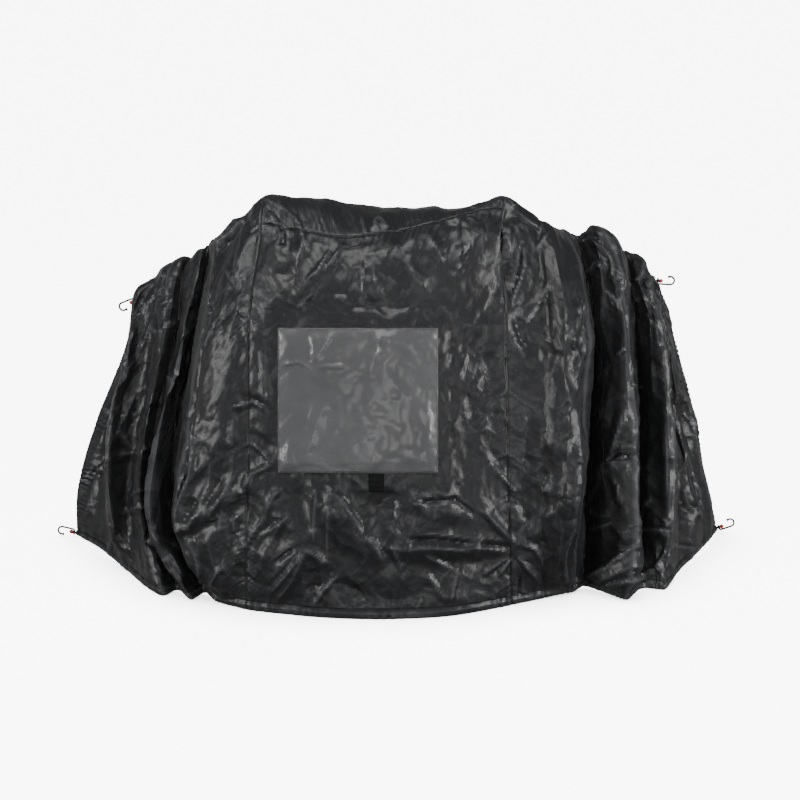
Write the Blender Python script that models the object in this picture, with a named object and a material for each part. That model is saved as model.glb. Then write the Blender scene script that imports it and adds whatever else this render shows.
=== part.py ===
"""A fitted cover for two bicycles, as it stands over its load: four panels of coated nylon,
a clear sign window, a closure tab, and a corded wire hook at each corner of the open back.

The cloth is one surface that runs from the front hem up over the crown to the rear hem, and
from the left rear edge round the front to the right rear edge. FOLDS holds a row for each
line that runs up the cloth: its two rear edges, every crest and valley of the pleats, the
two side seams and the smooth lines of the front. A row gives the line's place at seven
named heights. The cloth is straight between two lines and rounded where it turns at one.
"""
import math
from collections import namedtuple

import bmesh
import bpy
import numpy as np
from mathutils import Matrix, Vector

CM = 0.01
MM = 0.001

# Driving sizes
CLOTH = 2.0 * MM             # thickness of a hemmed cloth panel
CLEAR_SHEET = 1.0 * MM       # thickness of the sign window
TAB_THICKNESS = 1.5 * MM
PIECE_GAP = 0.3 * MM         # between pieces that touch on the real cover
CENTRE_X = -1.04 * CM        # middle of the cover's box in the table's own x and y
CENTRE_Y = -7.28 * CM
HEM_LIFT = 0.5 * MM          # the tilted hem's rim reaches this far under its middle
LOW_SHARE = 0.22             # heights of the low, mid and high stations, as shares of a
MID_SHARE = 0.48             # line's tall size
HIGH_SHARE = 0.75
TOP_SEAM = 4.2               # the front panel ends and the top panel starts here, in stations

# One row for each line up the cloth, in centimetres. bend is how far the rounding of the
# turn reaches towards the next lines, as a share of the way. tall scales the three heights
# between foot and brow. foot, brow, crown and back are (x, y, z), the others (x, y).
Fold = namedtuple("Fold", "name bend tall foot low mid high brow crown back")
FOLDS = (
    Fold("left_edge", 0.20, 78, (-107, 23, 0.5), (-106, 26), (-100, 28), (-91, 29),
         (-86.5, 29, 73), (-85, 29, 78), (-84, 29, 81)),
    Fold("left_gather", 0.35, 80, (-98, 11, 1), (-96, 20), (-93, 23), (-88, 24),
         (-85.5, 25, 76), (-84, 26, 81), (-82, 29, 83)),
    Fold("outer_left_crest", 0.12, 85, (-88.5, -3, 0), (-92.5, -6), (-93, 0), (-88, 8),
         (-85, 15, 79), (-83, 20, 85.8), (-79, 29, 85.5)),
    Fold("outer_left_valley", 0.40, 90, (-80, -19, 0.3), (-85, 2), (-83, 7), (-80, 13),
         (-79, 18, 84), (-76.5, 22, 89.8), (-74, 29, 87)),
    Fold("soft_left_ridge", 0.30, 95, (-73, -27.5, 0), (-81.5, -13), (-80, -5), (-74.5, 3),
         (-71.5, 10, 88.5), (-68.5, 17, 95.5), (-66, 29, 89)),
    Fold("soft_left_valley", 0.30, 97, (-69, -22, 0.5), (-78, -5), (-75.5, 2), (-70, 9),
         (-67.5, 14, 90.5), (-64.5, 19.5, 96.3), (-62, 29, 90)),
    Fold("middle_left_crest", 0.12, 100, (-64, -30, 0), (-76, -27), (-74, -18), (-67.5, -8),
         (-63, 4, 93), (-61, 13, 101), (-58, 29, 91)),
    Fold("inner_left_valley", 0.30, 102, (-60, -24, 0.5), (-69.5, -7), (-69.5, 1), (-63, 6),
         (-60, 11, 94), (-58.5, 16, 101.5), (-55, 29, 92)),
    Fold("inner_left_crest", 0.12, 105, (-56, -31.5, 0), (-68.5, -30), (-65, -23), (-61, -14),
         (-58, -2, 98), (-56.5, 8, 105), (-52, 29, 94)),
    Fold("left_shoulder", 0.50, 112, (-51, -34, 0), (-57, -33), (-56, -27), (-52.5, -18),
         (-50.5, -5, 104.5), (-49.5, 8, 111.5), (-47, 29, 96)),
    Fold("left_seam", 0.50, 117, (-47, -37, 0), (-45.5, -35), (-45, -28.5), (-44.5, -20),
         (-42, -7, 110), (-41, 3, 118), (-42, 29, 97)),
    Fold("window_left", 0.50, 117, (-39, -39.5, 0), (-38.2, -37.5), (-37.2, -31), (-37, -22.5),
         (-34, -12, 109), (-35.5, 3, 119.5), (-34, 29, 98)),
    Fold("front_left", 0.50, 117, (-24, -43, 0), (-21.5, -40.5), (-20, -34), (-19.5, -25.5),
         (-19, -16, 106.5), (-22, 4, 118), (-20, 29, 99)),
    Fold("front_middle", 0.50, 117, (-6, -44.5, 0), (-5, -41.5), (-4, -34.5), (-4, -26),
         (-5, -15, 109), (-4, 5, 115.5), (-4, 29, 99)),
    Fold("window_right", 0.50, 117, (12, -43, 0), (12.3, -39), (12, -32), (12, -23),
         (10.5, -12, 112), (12, 5, 115), (12, 29, 99)),
    Fold("front_right", 0.50, 117, (24, -38.5, 0), (23, -36), (22, -29.5), (21.5, -21),
         (21, -8, 114), (22, 4, 115.5), (22, 29, 98.5)),
    Fold("right_seam", 0.50, 117, (34, -33.5, 0), (33, -32), (32, -26.5), (31, -18),
         (30.5, -4, 114.5), (31.5, 4, 118), (31, 29, 98)),
    Fold("right_shoulder", 0.50, 112, (43, -29, 0), (43.5, -31.5), (43.5, -27), (43.5, -18),
         (42, -3, 107), (42, 6, 112.5), (41, 29, 97)),
    Fold("inner_right_crest", 0.12, 108, (54, -23, 0), (55, -29), (56, -24), (57, -15),
         (54.5, -2, 101.5), (52, 8, 108), (49, 29, 95.5)),
    Fold("inner_right_valley", 0.30, 107, (57.5, -19, 0.5), (57, -3), (57.5, 4), (58.5, 8),
         (58, 12, 101), (56.5, 17, 106.5), (54, 29, 94)),
    Fold("middle_right_crest", 0.12, 106, (69.5, -30, 0), (73, -25.5), (72.5, -17), (70.5, -8),
         (67, 3, 99), (63, 13, 108), (60, 29, 94)),
    Fold("middle_right_valley", 0.30, 101, (75, -21, 0.5), (74.5, 3), (74.5, 10), (73.5, 13),
         (71, 16, 94.5), (68, 20, 100), (65, 29, 92)),
    Fold("outer_right_crest", 0.12, 98, (82.5, -22, 0), (86, -13.5), (85.5, -6), (83, 3),
         (79, 11, 89), (75, 19, 97), (70, 29, 91)),
    Fold("outer_right_valley", 0.35, 93, (88, -8, 0.3), (87.5, 11), (87, 15), (84, 18),
         (80.5, 20, 85.5), (77, 23, 92.5), (73.5, 29, 89.5)),
    Fold("right_gather", 0.30, 90, (98, 10, 1), (95, 14), (90.5, 17), (86.5, 19),
         (82.5, 22, 83), (79, 25, 89), (77, 29, 88.5)),
    Fold("right_edge", 0.20, 84, (105.5, 27, 0.5), (101, 29), (96.5, 29), (90, 29),
         (85, 29, 79), (82.5, 29, 84.5), (81, 29, 87)),
)
NAMES = [fold.name for fold in FOLDS]

# Folds that lie across the front, from one end to the other in the front view (x, z), in
# centimetres: rise is the height over the cloth (a trough is negative), spread its half width.
Crease = namedtuple("Crease", "name start end rise spread")
CREASES = (
    Crease("tongue_ridge", (-68, 21), (-47, 38), 1.8, 3.0),
    Crease("tongue_trough", (-76, 13), (-50, 33), -2.0, 3.5),
    Crease("left_foot_ridge", (-66, 16), (-60, 3), 1.6, 3.5),
    Crease("right_tuck_ridge", (76, 10), (55, 1), 2.0, 3.5),
    Crease("right_tuck_trough", (74, 18), (56, 9), -2.0, 4.0),
    Crease("middle_right_kink", (64, 41), (73, 42), -1.6, 3.0),
    Crease("outer_right_tuck", (88, 8), (66, 1), 1.6, 3.0),
    Crease("outer_right_kink", (74, 17), (87, 16), 1.6, 3.0),
    Crease("star_trough", (-2, 17), (33, 15), -1.4, 3.5),
    Crease("star_ridge", (3, 22), (32, 19), 1.2, 3.5),
    Crease("apron_ridge", (-22, 37), (-5, 15), 1.3, 4.0),
    Crease("apron_upright", (-26, 42), (-25, 17), 0.9, 3.0),
    Crease("apron_trough", (-30, 36), (-16, 9), -1.1, 4.0),
    Crease("brow_ridge", (-19, 106), (-31, 94), 1.2, 3.0),
    Crease("brow_trough", (-24, 106), (-36, 98), -1.2, 3.5),
    Crease("seam_hollow", (33, 112), (34, 92), -1.8, 3.0),
)

# Where the creases reach: they grow over one line at each side.
CREASED_FROM = NAMES.index("soft_left_valley")
CREASED_TO = NAMES.index("outer_right_valley")
CREASE_FOOT = 0.15           # in stations: full from here up
CREASE_HEAD = (4.5, 5.0)     # full up to the first, none from the second
CREASE_ENDS = 0.15           # share of the half wave that a crease starts and ends at

LEFT_SEAM = NAMES.index("left_seam")
RIGHT_SEAM = NAMES.index("right_seam")
WINDOW_SPAN = (NAMES.index("window_left"), NAMES.index("window_right"))
WINDOW_RISE = (1.57, 2.9)
TAB_SPAN = (NAMES.index("front_middle") - 0.25, NAMES.index("front_middle"))
TAB_RISE = (1.41, 1.55)

# Hooks: wire, eye round the cord, and the bead that stops the cord in the eye
WIRE_RADIUS = 1.7 * MM
CORD_RADIUS = 3.0 * MM
EYE_RADIUS = CORD_RADIUS + WIRE_RADIUS + PIECE_GAP
EYE_TURN = 270               # degrees of the cord that the eye goes round
EYE_RISE = 1.2 * MM          # the wire bends out of the eye over this length
EYE_LEAD = 4.0 * MM          # and lies along the shank from here
BEAD_RADIUS = 5.2 * MM
BEAD_LENGTH = 15.0 * MM
BEAD_FULLNESS = 0.8          # 1 is an egg, less is a barrel
STUB_LENGTH = 9.0 * MM
SHANK_OFFSET = 9.5 * MM       # from the cord's axis to the wire beside the bead
SHANK_LENGTH = 40.0 * MM
CURL_RADIUS = 13.0 * MM
CURL_TURN = 192              # degrees
TIP_LENGTH = 6.0 * MM
TIP_SWELL = 1.35             # the dipped tip is this much thicker than the wire

# corner: where the cord leaves the hem, in the table's own centimetres; turn: degrees that
# the cord points up from straight out; side: +1 with the shank over the cord, -1 under it
Hook = namedtuple("Hook", "name end corner turn side")
HOOKS = (
    Hook("lower_left", -1, (-107.13, 23.1, 1.3), 14, 1),
    Hook("lower_right", 1, (105.38, 27.0, 1.5), 20, -1),
    Hook("upper_left", -1, (-84.94, 29.0, 79.3), -22, 1),
    Hook("upper_right", 1, (82.10, 29.0, 85.9), -3, -1),
)

FABRIC_BLACK = (0.030, 0.031, 0.033, 1.0)
CLEAR_GREY = (0.35, 0.36, 0.37, 1.0)
TAB_BLACK = (0.010, 0.010, 0.011, 1.0)
CORD_BLACK = (0.012, 0.012, 0.013, 1.0)
BEAD_RED = (0.45, 0.02, 0.02, 1.0)
WIRE_GREY = (0.09, 0.09, 0.095, 1.0)


def clear_scene():
    for thing in list(bpy.data.objects):
        bpy.data.objects.remove(thing, do_unlink=True)


def surface_material(name, colour, roughness, metallic=0.0):
    material = bpy.data.materials.new(name)
    material.use_nodes = True
    shader = material.node_tree.nodes["Principled BSDF"]
    shader.inputs["Base Color"].default_value = colour
    shader.inputs["Roughness"].default_value = roughness
    shader.inputs["Metallic"].default_value = metallic
    return material


def station_points(fold):
    """The seven points of one line, from its foot to its back, in centimetres."""
    between = zip((LOW_SHARE, MID_SHARE, HIGH_SHARE), (fold.low, fold.mid, fold.high))
    middle = [(x, y, share * fold.tall) for share, (x, y) in between]
    return [fold.foot, *middle, fold.brow, fold.crown, fold.back]


LINES = np.array([station_points(fold) for fold in FOLDS]) * CM
LINES -= np.array((CENTRE_X, CENTRE_Y, -HEM_LIFT))
BENDS = np.array([fold.bend for fold in FOLDS])
LAST_LINE = len(FOLDS) - 1
LAST_STATION = LINES.shape[1] - 1


def on_line(index, v):
    """Points on the numbered lines at the stations v: a smooth curve through each line."""
    at = np.clip(np.floor(v).astype(int), 0, LAST_STATION - 1)
    t = (v - at)[:, None]
    before = LINES[index, np.maximum(at - 1, 0)]
    start = LINES[index, at]
    end = LINES[index, at + 1]
    after = LINES[index, np.minimum(at + 2, LAST_STATION)]
    leave = (end - before) / 2
    arrive = (after - start) / 2
    return ((2 * t**3 - 3 * t**2 + 1) * start + (t**3 - 2 * t**2 + t) * leave
            + (3 * t**2 - 2 * t**3) * end + (t**3 - t**2) * arrive)


def folded(u, v):
    """The pleated cloth without its creases: u counts the lines, v the stations."""
    near = np.clip(np.floor(u + 0.5).astype(int), 0, LAST_LINE)
    turn = on_line(near, v)
    left = on_line(np.maximum(near - 1, 0), v)
    right = on_line(np.minimum(near + 1, LAST_LINE), v)
    off = (u - near)[:, None]
    bend = BENDS[near][:, None]
    straight = turn + np.where(off < 0, turn - left, right - turn) * off
    start = turn + (left - turn) * bend
    end = turn + (right - turn) * bend
    t = np.clip((off + bend) / (2 * bend), 0, 1)
    rounded = (1 - t)**2 * start + 2 * t * (1 - t) * turn + t**2 * end
    inner = (near > 0) & (near < LAST_LINE)
    return np.where((np.abs(off) < bend) & inner[:, None], rounded, straight)


def crease_rise(points):
    """How far the creases bring each point of the cloth forward."""
    x = points[:, 0] + CENTRE_X
    rise = np.zeros(len(points))
    for crease in CREASES:
        start = np.array(crease.start) * CM
        run = np.array(crease.end) * CM - start
        offset = np.stack([x, points[:, 2]], axis=1) - start
        share = np.clip(offset @ run / (run @ run), 0, 1)
        away = np.linalg.norm(offset - share[:, None] * run, axis=1)
        bump = np.exp(-(away / (crease.spread * CM))**2)
        wave = np.sin(np.pi * (CREASE_ENDS + (1 - 2 * CREASE_ENDS) * share))
        rise += crease.rise * CM * bump * wave
    return rise


def cloth(u, v):
    """The middle surface of the cloth with its creases."""
    points = folded(u, v)
    full, none = CREASE_HEAD
    fade = np.clip(u - CREASED_FROM, 0, 1) * np.clip(CREASED_TO - u, 0, 1)
    fade *= np.clip(v / CREASE_FOOT, 0, 1) * np.clip((none - v) / (none - full), 0, 1)
    points[:, 1] -= crease_rise(points) * fade
    return points


def line_steps(first, last, extra):
    """Values of u between two lines: at each line, along its rounding, and extra ones where
    the cloth between the roundings is straight."""
    steps = {float(first), float(last)}
    for k in range(first, last):
        start = k + BENDS[k] if k > 0 else float(k)
        end = k + 1 - BENDS[k + 1] if k + 1 < LAST_LINE else float(k + 1)
        steps.update((float(k), start, end))
        steps.update(np.linspace(start, end, extra + 2))
        if BENDS[k] >= 0.5:
            steps.add(k + BENDS[k] / 2)
        if BENDS[k + 1] >= 0.5:
            steps.add(k + 1 - BENDS[k + 1] / 2)
    return np.array(sorted({round(float(step), 6) for step in steps}))


def station_steps(per_station):
    """Values of v up the cloth, with the top seam and the window's and tab's edges in them."""
    evenly = np.linspace(0, LAST_STATION, LAST_STATION * per_station + 1)
    steps = {round(float(step), 6) for step in evenly}
    edges = {*WINDOW_RISE, *TAB_RISE, TOP_SEAM}
    for edge in edges:
        steps = {step for step in steps if abs(step - edge) > 0.4 / per_station}
    steps.update(edges)
    return np.array(sorted(steps))


def unit(vectors):
    return vectors / np.linalg.norm(vectors, axis=-1, keepdims=True)


def corner_normals(points):
    """A direction out of the cover at each point of a grid: the mean of its cells' normals."""
    rising = points[1:, 1:] - points[:-1, :-1]
    falling = points[1:, :-1] - points[:-1, 1:]
    cells = np.pad(unit(np.cross(rising, falling)), ((1, 1), (1, 1), (0, 0)))
    return unit(cells[1:, 1:] + cells[1:, :-1] + cells[:-1, 1:] + cells[:-1, :-1])


class Cover:
    """The whole cloth as one grid of points and normals, which the panels share."""

    def __init__(self):
        seams = (0, LEFT_SEAM, RIGHT_SEAM, LAST_LINE)
        spans = zip(seams, seams[1:], (0, 1, 0))
        self.us = np.unique(np.concatenate([line_steps(*span) for span in spans]))
        self.vs = station_steps(per_station=5)
        u, v = np.meshgrid(self.us, self.vs)
        self.points = cloth(u.ravel(), v.ravel()).reshape(*u.shape, 3)
        self.normals = corner_normals(self.points)

    def block(self, across, upward):
        """The points and normals between two values of u and two of v."""
        columns = (self.us >= across[0]) & (self.us <= across[1])
        rows = (self.vs >= upward[0]) & (self.vs <= upward[1])
        chosen = np.ix_(rows, columns)
        return self.points[chosen], self.normals[chosen]


def cloth_panel(cover, name, across, upward, thickness, colour, roughness, lift=0.0, seams=""):
    """A closed sheet over a block of the cover. Its middle lies lift outside the cloth's
    middle, and the sides named in seams (left, right, foot, head) draw back by half a gap."""
    middle, out = cover.block(across, upward)
    if "left" in seams:
        middle[:, 0] += unit(middle[:, 1] - middle[:, 0]) * PIECE_GAP / 2
    if "right" in seams:
        middle[:, -1] += unit(middle[:, -2] - middle[:, -1]) * PIECE_GAP / 2
    if "foot" in seams:
        middle[0] += unit(middle[1] - middle[0]) * PIECE_GAP / 2
    if "head" in seams:
        middle[-1] += unit(middle[-2] - middle[-1]) * PIECE_GAP / 2
    outer = middle + out * (lift + thickness / 2)
    inner = middle + out * (lift - thickness / 2)

    rows, columns = middle.shape[:2]
    bm = bmesh.new()
    bmesh.ops.create_grid(bm, x_segments=columns - 1, y_segments=rows - 1, size=0.5)
    bmesh.ops.triangulate(bm, faces=bm.faces[:], quad_method="FIXED")
    front = list(bm.verts)
    extruded = bmesh.ops.extrude_face_region(bm, geom=bm.faces[:], use_keep_orig=True)
    behind = [item for item in extruded["geom"] if isinstance(item, bmesh.types.BMVert)]
    for verts, layer in ((front, outer), (behind, inner)):
        for vert in verts:
            column = round((vert.co.x + 0.5) * (columns - 1))
            row = round((vert.co.y + 0.5) * (rows - 1))
            vert.co = layer[row, column]
    bm.normal_update()
    bmesh.ops.recalc_face_normals(bm, faces=bm.faces[:])
    mesh_object(name, bm, colour, roughness)


def mesh_object(name, bm, colour, roughness, metallic=0.0):
    mesh = bpy.data.meshes.new(name)
    bm.to_mesh(mesh)
    bm.free()
    mesh.shade_smooth()
    mesh.materials.append(surface_material(name, colour, roughness, metallic))
    piece = bpy.data.objects.new(name, mesh)
    bpy.data.collections["bicycle_cover"].objects.link(piece)


def hook_frame(hook):
    """A matrix with x out along the cord, z to the shank's side, and its origin where the
    cord leaves the hem."""
    turn = math.radians(hook.turn)
    out = Vector((hook.end * math.cos(turn), 0, math.sin(turn)))
    across = Vector((-hook.end * math.sin(turn), 0, math.cos(turn))) * hook.side
    depth = across.cross(out)
    place = Vector(hook.corner) * CM - Vector((CENTRE_X, CENTRE_Y, 0))
    return Matrix.Translation(place) @ Matrix((out, depth, across)).transposed().to_4x4()


def cord_stub(hook):
    bm = bmesh.new()
    bmesh.ops.create_cone(bm, cap_ends=True, segments=12, radius1=CORD_RADIUS,
                          radius2=CORD_RADIUS, depth=STUB_LENGTH)
    bmesh.ops.rotate(bm, verts=bm.verts, matrix=Matrix.Rotation(math.pi / 2, 3, "Y"))
    bmesh.ops.translate(bm, verts=bm.verts, vec=(STUB_LENGTH / 2, 0, 0))
    bm.transform(hook_frame(hook))
    mesh_object(f"cord_stub_{hook.name}", bm, CORD_BLACK, 0.8)


def cord_bead(hook):
    """A barrel-shaped stop on the end of the cord."""
    bm = bmesh.new()
    bmesh.ops.create_uvsphere(bm, u_segments=12, v_segments=8, radius=1.0)
    for vert in bm.verts:
        vert.co.z = math.copysign(abs(vert.co.z)**BEAD_FULLNESS, vert.co.z)
    bmesh.ops.scale(bm, verts=bm.verts, vec=(BEAD_RADIUS, BEAD_RADIUS, BEAD_LENGTH / 2))
    bmesh.ops.rotate(bm, verts=bm.verts, matrix=Matrix.Rotation(math.pi / 2, 3, "Y"))
    middle = STUB_LENGTH + PIECE_GAP + BEAD_LENGTH / 2
    bmesh.ops.translate(bm, verts=bm.verts, vec=(middle, 0, 0))
    bm.transform(hook_frame(hook))
    mesh_object(f"cord_bead_{hook.name}", bm, BEAD_RED, 0.45)


def hook_path():
    """The wire from the open end of its eye, round the cord, along the bead and round the
    curl to its tip: points (along the cord, depth, towards the shank) and their radii."""
    eye_at = STUB_LENGTH - WIRE_RADIUS - PIECE_GAP
    points = []
    for degrees in np.linspace(90 - EYE_TURN, 90, 10):
        angle = math.radians(degrees)
        points.append((eye_at, EYE_RADIUS * math.cos(angle), EYE_RADIUS * math.sin(angle)))
    points.append((eye_at + EYE_RISE, 0, SHANK_OFFSET - 0.4 * MM))
    points.append((eye_at + EYE_LEAD, 0, SHANK_OFFSET))
    curl_x = eye_at + SHANK_LENGTH
    curl_z = SHANK_OFFSET - CURL_RADIUS
    points.append(((eye_at + curl_x) / 2, 0, SHANK_OFFSET))
    for degrees in np.linspace(90, 90 - CURL_TURN, 9):
        angle = math.radians(degrees)
        points.append((curl_x + CURL_RADIUS * math.cos(angle), 0,
                       curl_z + CURL_RADIUS * math.sin(angle)))
    swell = [1.0] * (len(points) - 1) + [TIP_SWELL, TIP_SWELL]
    points.append((points[-1][0] - TIP_LENGTH, 0, points[-1][2] + TIP_LENGTH * 0.15))
    return points, swell


def wire_hook(hook):
    name = f"wire_hook_{hook.name}"
    points, swell = hook_path()
    curve = bpy.data.curves.new(name, "CURVE")
    curve.dimensions = "3D"
    curve.bevel_depth = WIRE_RADIUS
    curve.bevel_resolution = 2
    curve.use_fill_caps = True
    spline = curve.splines.new("POLY")
    spline.points.add(len(points) - 1)
    spline.use_smooth = True
    for point, place, radius in zip(spline.points, points, swell):
        point.co = (*place, 1)
        point.radius = radius
    curve.materials.append(surface_material(name, WIRE_GREY, 0.35, 0.8))
    piece = bpy.data.objects.new(name, curve)
    piece.matrix_world = hook_frame(hook)
    bpy.data.collections["bicycle_cover"].objects.link(piece)


def build():
    clear_scene()
    parts = bpy.data.collections.new("bicycle_cover")
    bpy.context.scene.collection.children.link(parts)

    cover = Cover()
    middle = (LEFT_SEAM, RIGHT_SEAM)
    whole = (0, LAST_STATION)
    nylon = (CLOTH, FABRIC_BLACK, 0.42)
    cloth_panel(cover, "front_panel", middle, (0, TOP_SEAM), *nylon, seams="left right head")
    cloth_panel(cover, "top_panel", middle, (TOP_SEAM, LAST_STATION), *nylon,
                seams="left right foot")
    cloth_panel(cover, "left_panel", (0, LEFT_SEAM), whole, *nylon, seams="right")
    cloth_panel(cover, "right_panel", (RIGHT_SEAM, LAST_LINE), whole, *nylon, seams="left")
    cloth_panel(cover, "sign_window", WINDOW_SPAN, WINDOW_RISE, CLEAR_SHEET, CLEAR_GREY, 0.25,
                lift=(CLOTH + CLEAR_SHEET) / 2 + PIECE_GAP)
    cloth_panel(cover, "closure_tab", TAB_SPAN, TAB_RISE, TAB_THICKNESS, TAB_BLACK, 0.7,
                lift=(CLOTH + TAB_THICKNESS) / 2 + PIECE_GAP)
    for hook in HOOKS:
        cord_stub(hook)
        cord_bead(hook)
        wire_hook(hook)


build()
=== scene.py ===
# %% [markdown]
# # A cover for two bicycles on a carrier
# The real thing is sewn from four pieces of black coated nylon: a front, a top and two sides.
# It is pulled over the bicycles like a tent, its hem is gathered by an elastic cord, and a
# small wire hook at each corner of the open back grips the carrier. The saddles and the
# handlebars hold it up, and the spare cloth at both ends falls into deep pleats.
# The imported model gives the frame: where every piece is and how big it is. This script gives
# the looks. It starts by loading that frame.
# %% Load the frame
import math
from collections import namedtuple

import bmesh
import bpy
import numpy as np
from mathutils import Matrix, Vector, noise
from mathutils.bvhtree import BVHTree
from mathutils.geometry import delaunay_2d_cdt


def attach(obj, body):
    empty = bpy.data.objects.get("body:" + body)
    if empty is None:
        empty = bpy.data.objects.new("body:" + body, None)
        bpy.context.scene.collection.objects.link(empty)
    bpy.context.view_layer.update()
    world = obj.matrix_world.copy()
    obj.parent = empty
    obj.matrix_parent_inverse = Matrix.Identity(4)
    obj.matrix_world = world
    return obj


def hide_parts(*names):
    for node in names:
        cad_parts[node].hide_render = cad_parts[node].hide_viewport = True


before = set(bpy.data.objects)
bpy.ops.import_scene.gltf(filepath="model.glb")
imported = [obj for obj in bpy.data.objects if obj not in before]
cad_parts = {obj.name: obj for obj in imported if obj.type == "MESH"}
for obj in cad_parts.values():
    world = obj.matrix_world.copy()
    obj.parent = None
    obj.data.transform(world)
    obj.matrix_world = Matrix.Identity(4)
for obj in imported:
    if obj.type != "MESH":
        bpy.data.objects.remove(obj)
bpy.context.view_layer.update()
CM = 0.01
MM = 0.001

# %% [markdown]
# ## Camera, floor and light
# Black cloth has hardly any colour of its own. Nearly all that is seen on it is the studio,
# mirrored dimly in its coating, so the light matters as much as the shape. One way would be
# a plain white world, but then every fold mirrors the same white and the cloth looks flat.
# Here the sky is pale at the horizon and dim above it, and five soft boxes stand over the
# cover, at its two sides, far in front of it and low behind its open back. The folds pick
# them out one by one. The floor glows, so that it is as white as a studio's, and it glows
# less close to the hem, which stands in for the cover's soft shadow.
# %% Camera
VIEW_TARGET = Vector((0.0104, 0.0728, 0.55))
VIEW_DISTANCE = 6.5
VIEW_PITCH = math.radians(18.0)
SENSOR = 36.0
LENS = 93.6                  # long, as for a product that is seen from some way off


def add_object(name, data):
    """A new object in the scene, at the origin."""
    added = bpy.data.objects.new(name, data)
    bpy.context.scene.collection.objects.link(added)
    return added


toward = Vector((0.0, -math.cos(VIEW_PITCH), math.sin(VIEW_PITCH)))
camera = add_object("camera", bpy.data.cameras.new("camera"))
camera.location = VIEW_TARGET + toward * VIEW_DISTANCE
camera.rotation_euler = (-toward).to_track_quat("-Z", "Y").to_euler()
camera.data.sensor_width = SENSOR
camera.data.lens = LENS
bpy.context.scene.camera = camera
print("camera at", tuple(round(c, 3) for c in camera.location))


# %% A wrapper for shader sockets
class Wire:
    """One output socket. Python's operators on it add Math nodes, so that 1 - mask works."""

    def __init__(self, tree, socket):
        self.tree = tree
        self.socket = socket

    def math(self, operation, *others):
        return self.tree.node("Math", {"operation": operation}, [self, *others])

    def __add__(self, other):
        return self.math("ADD", other)

    def __radd__(self, other):
        return self.math("ADD", other)

    def __mul__(self, other):
        return self.math("MULTIPLY", other)

    def __rmul__(self, other):
        return self.math("MULTIPLY", other)

    def __sub__(self, other):
        return self.math("SUBTRACT", other)

    def __rsub__(self, other):
        return self.tree.node("Math", {"operation": "SUBTRACT"}, [other, self])


class Tree:
    """A node tree that is filled by calls."""

    def __init__(self, node_tree):
        self.made = node_tree

    def node(self, kind, settings=None, values=None, output=0):
        """Adds a node: its settings are made first, then its sockets get values or links."""
        added = self.made.nodes.new("ShaderNode" + kind)
        for name, value in (settings or {}).items():
            if name == "stops":
                while len(added.color_ramp.elements) < len(value):
                    added.color_ramp.elements.new(0.5)
                for element, (place, shade) in zip(added.color_ramp.elements, value):
                    element.position = place
                    element.color = (shade, shade, shade, 1.0)
            else:
                setattr(added, name, value)
        values = values or {}
        pairs = values.items() if isinstance(values, dict) else enumerate(values)
        for key, value in pairs:
            if isinstance(value, Wire):
                self.made.links.new(value.socket, added.inputs[key])
            elif value is not None:
                added.inputs[key].default_value = value
        return Wire(self, added.outputs[output]) if len(added.outputs) else added


def new_material(name, colour, roughness, **constants):
    """A material with a Principled shader: its tree, and a function that links a wire to it."""
    material = bpy.data.materials.new(name)
    material.use_nodes = True
    shader = material.node_tree.nodes["Principled BSDF"]
    shader.inputs["Base Color"].default_value = (*colour, 1.0)
    shader.inputs["Roughness"].default_value = roughness
    for key, value in constants.items():
        shader.inputs[key.replace("_", " ")].default_value = value
    tree = Tree(material.node_tree)

    def feed(socket, wire):
        material.node_tree.links.new(wire.socket, shader.inputs[socket])

    return material, tree, feed


# %% Floor, sky and soft boxes
FLOOR_SIZE = 60.0
FLOOR_WHITE = (0.9, 0.9, 0.9)
FLOOR_GLOW = 8.0
SHADOW_REACH = 0.16          # metres from the hem over which the floor's glow fades
SHADOW_SAMPLES = 12


def make_floor():
    """The glowing floor. The cloth neither mirrors it nor is lit by it, so it can be bright
    without washing out the folds."""
    bm = bmesh.new()
    bmesh.ops.create_grid(bm, x_segments=2, y_segments=2, size=FLOOR_SIZE / 2)
    mesh = bpy.data.meshes.new("floor")
    bm.to_mesh(mesh)
    bm.free()
    floor = add_object("floor", mesh)
    material, tree, feed = new_material("floor_white", FLOOR_WHITE, 0.9,
                                        Emission_Strength=FLOOR_GLOW)
    feed("Emission Color", tree.node("AmbientOcclusion", {"samples": SHADOW_SAMPLES},
                                     {"Distance": SHADOW_REACH}, 1))
    mesh.materials.append(material)
    floor.visible_glossy = False
    floor.visible_diffuse = False


# Brightness of the sky from straight below, 0, over the horizon, 0.5, to straight above, 1.
SKY_STOPS = ((0.0, 0.10), (0.30, 0.16), (0.47, 0.42), (0.54, 0.42), (0.66, 0.10), (1.0, 0.16))


def make_sky():
    world = bpy.data.worlds.new("sky")
    bpy.context.scene.world = world
    world.use_nodes = True
    tree = Tree(world.node_tree)
    way = tree.node("TexCoord")
    up = tree.node("SeparateXYZ", None, [way], output=2)
    shade = tree.node("ValToRGB", {"stops": SKY_STOPS}, [up * 0.5 + 0.5])
    background = world.node_tree.nodes["Background"]
    world.node_tree.links.new(shade.socket, background.inputs["Color"])
    background.inputs["Strength"].default_value = 1.0


SoftBox = namedtuple("SoftBox", "name place aim width height power")
SOFT_BOXES = (
    SoftBox("over", (-0.6, -1.4, 3.6), (0, 0.1, 0.5), 3.0, 0.9, 60),
    SoftBox("left", (-3.6, -2.2, 1.7), (-0.2, 0, 0.6), 0.7, 2.4, 73),
    SoftBox("right", (3.4, -2.0, 1.5), (0.4, 0, 0.6), 0.6, 2.4, 88),
    SoftBox("front", (0.6, -6.4, 1.4), (0, 0, 0.5), 2.4, 1.6, 42),
    SoftBox("inside", (0.0, 1.1, 0.15), (0, -0.2, 0.75), 1.6, 0.3, 14),
)


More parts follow.
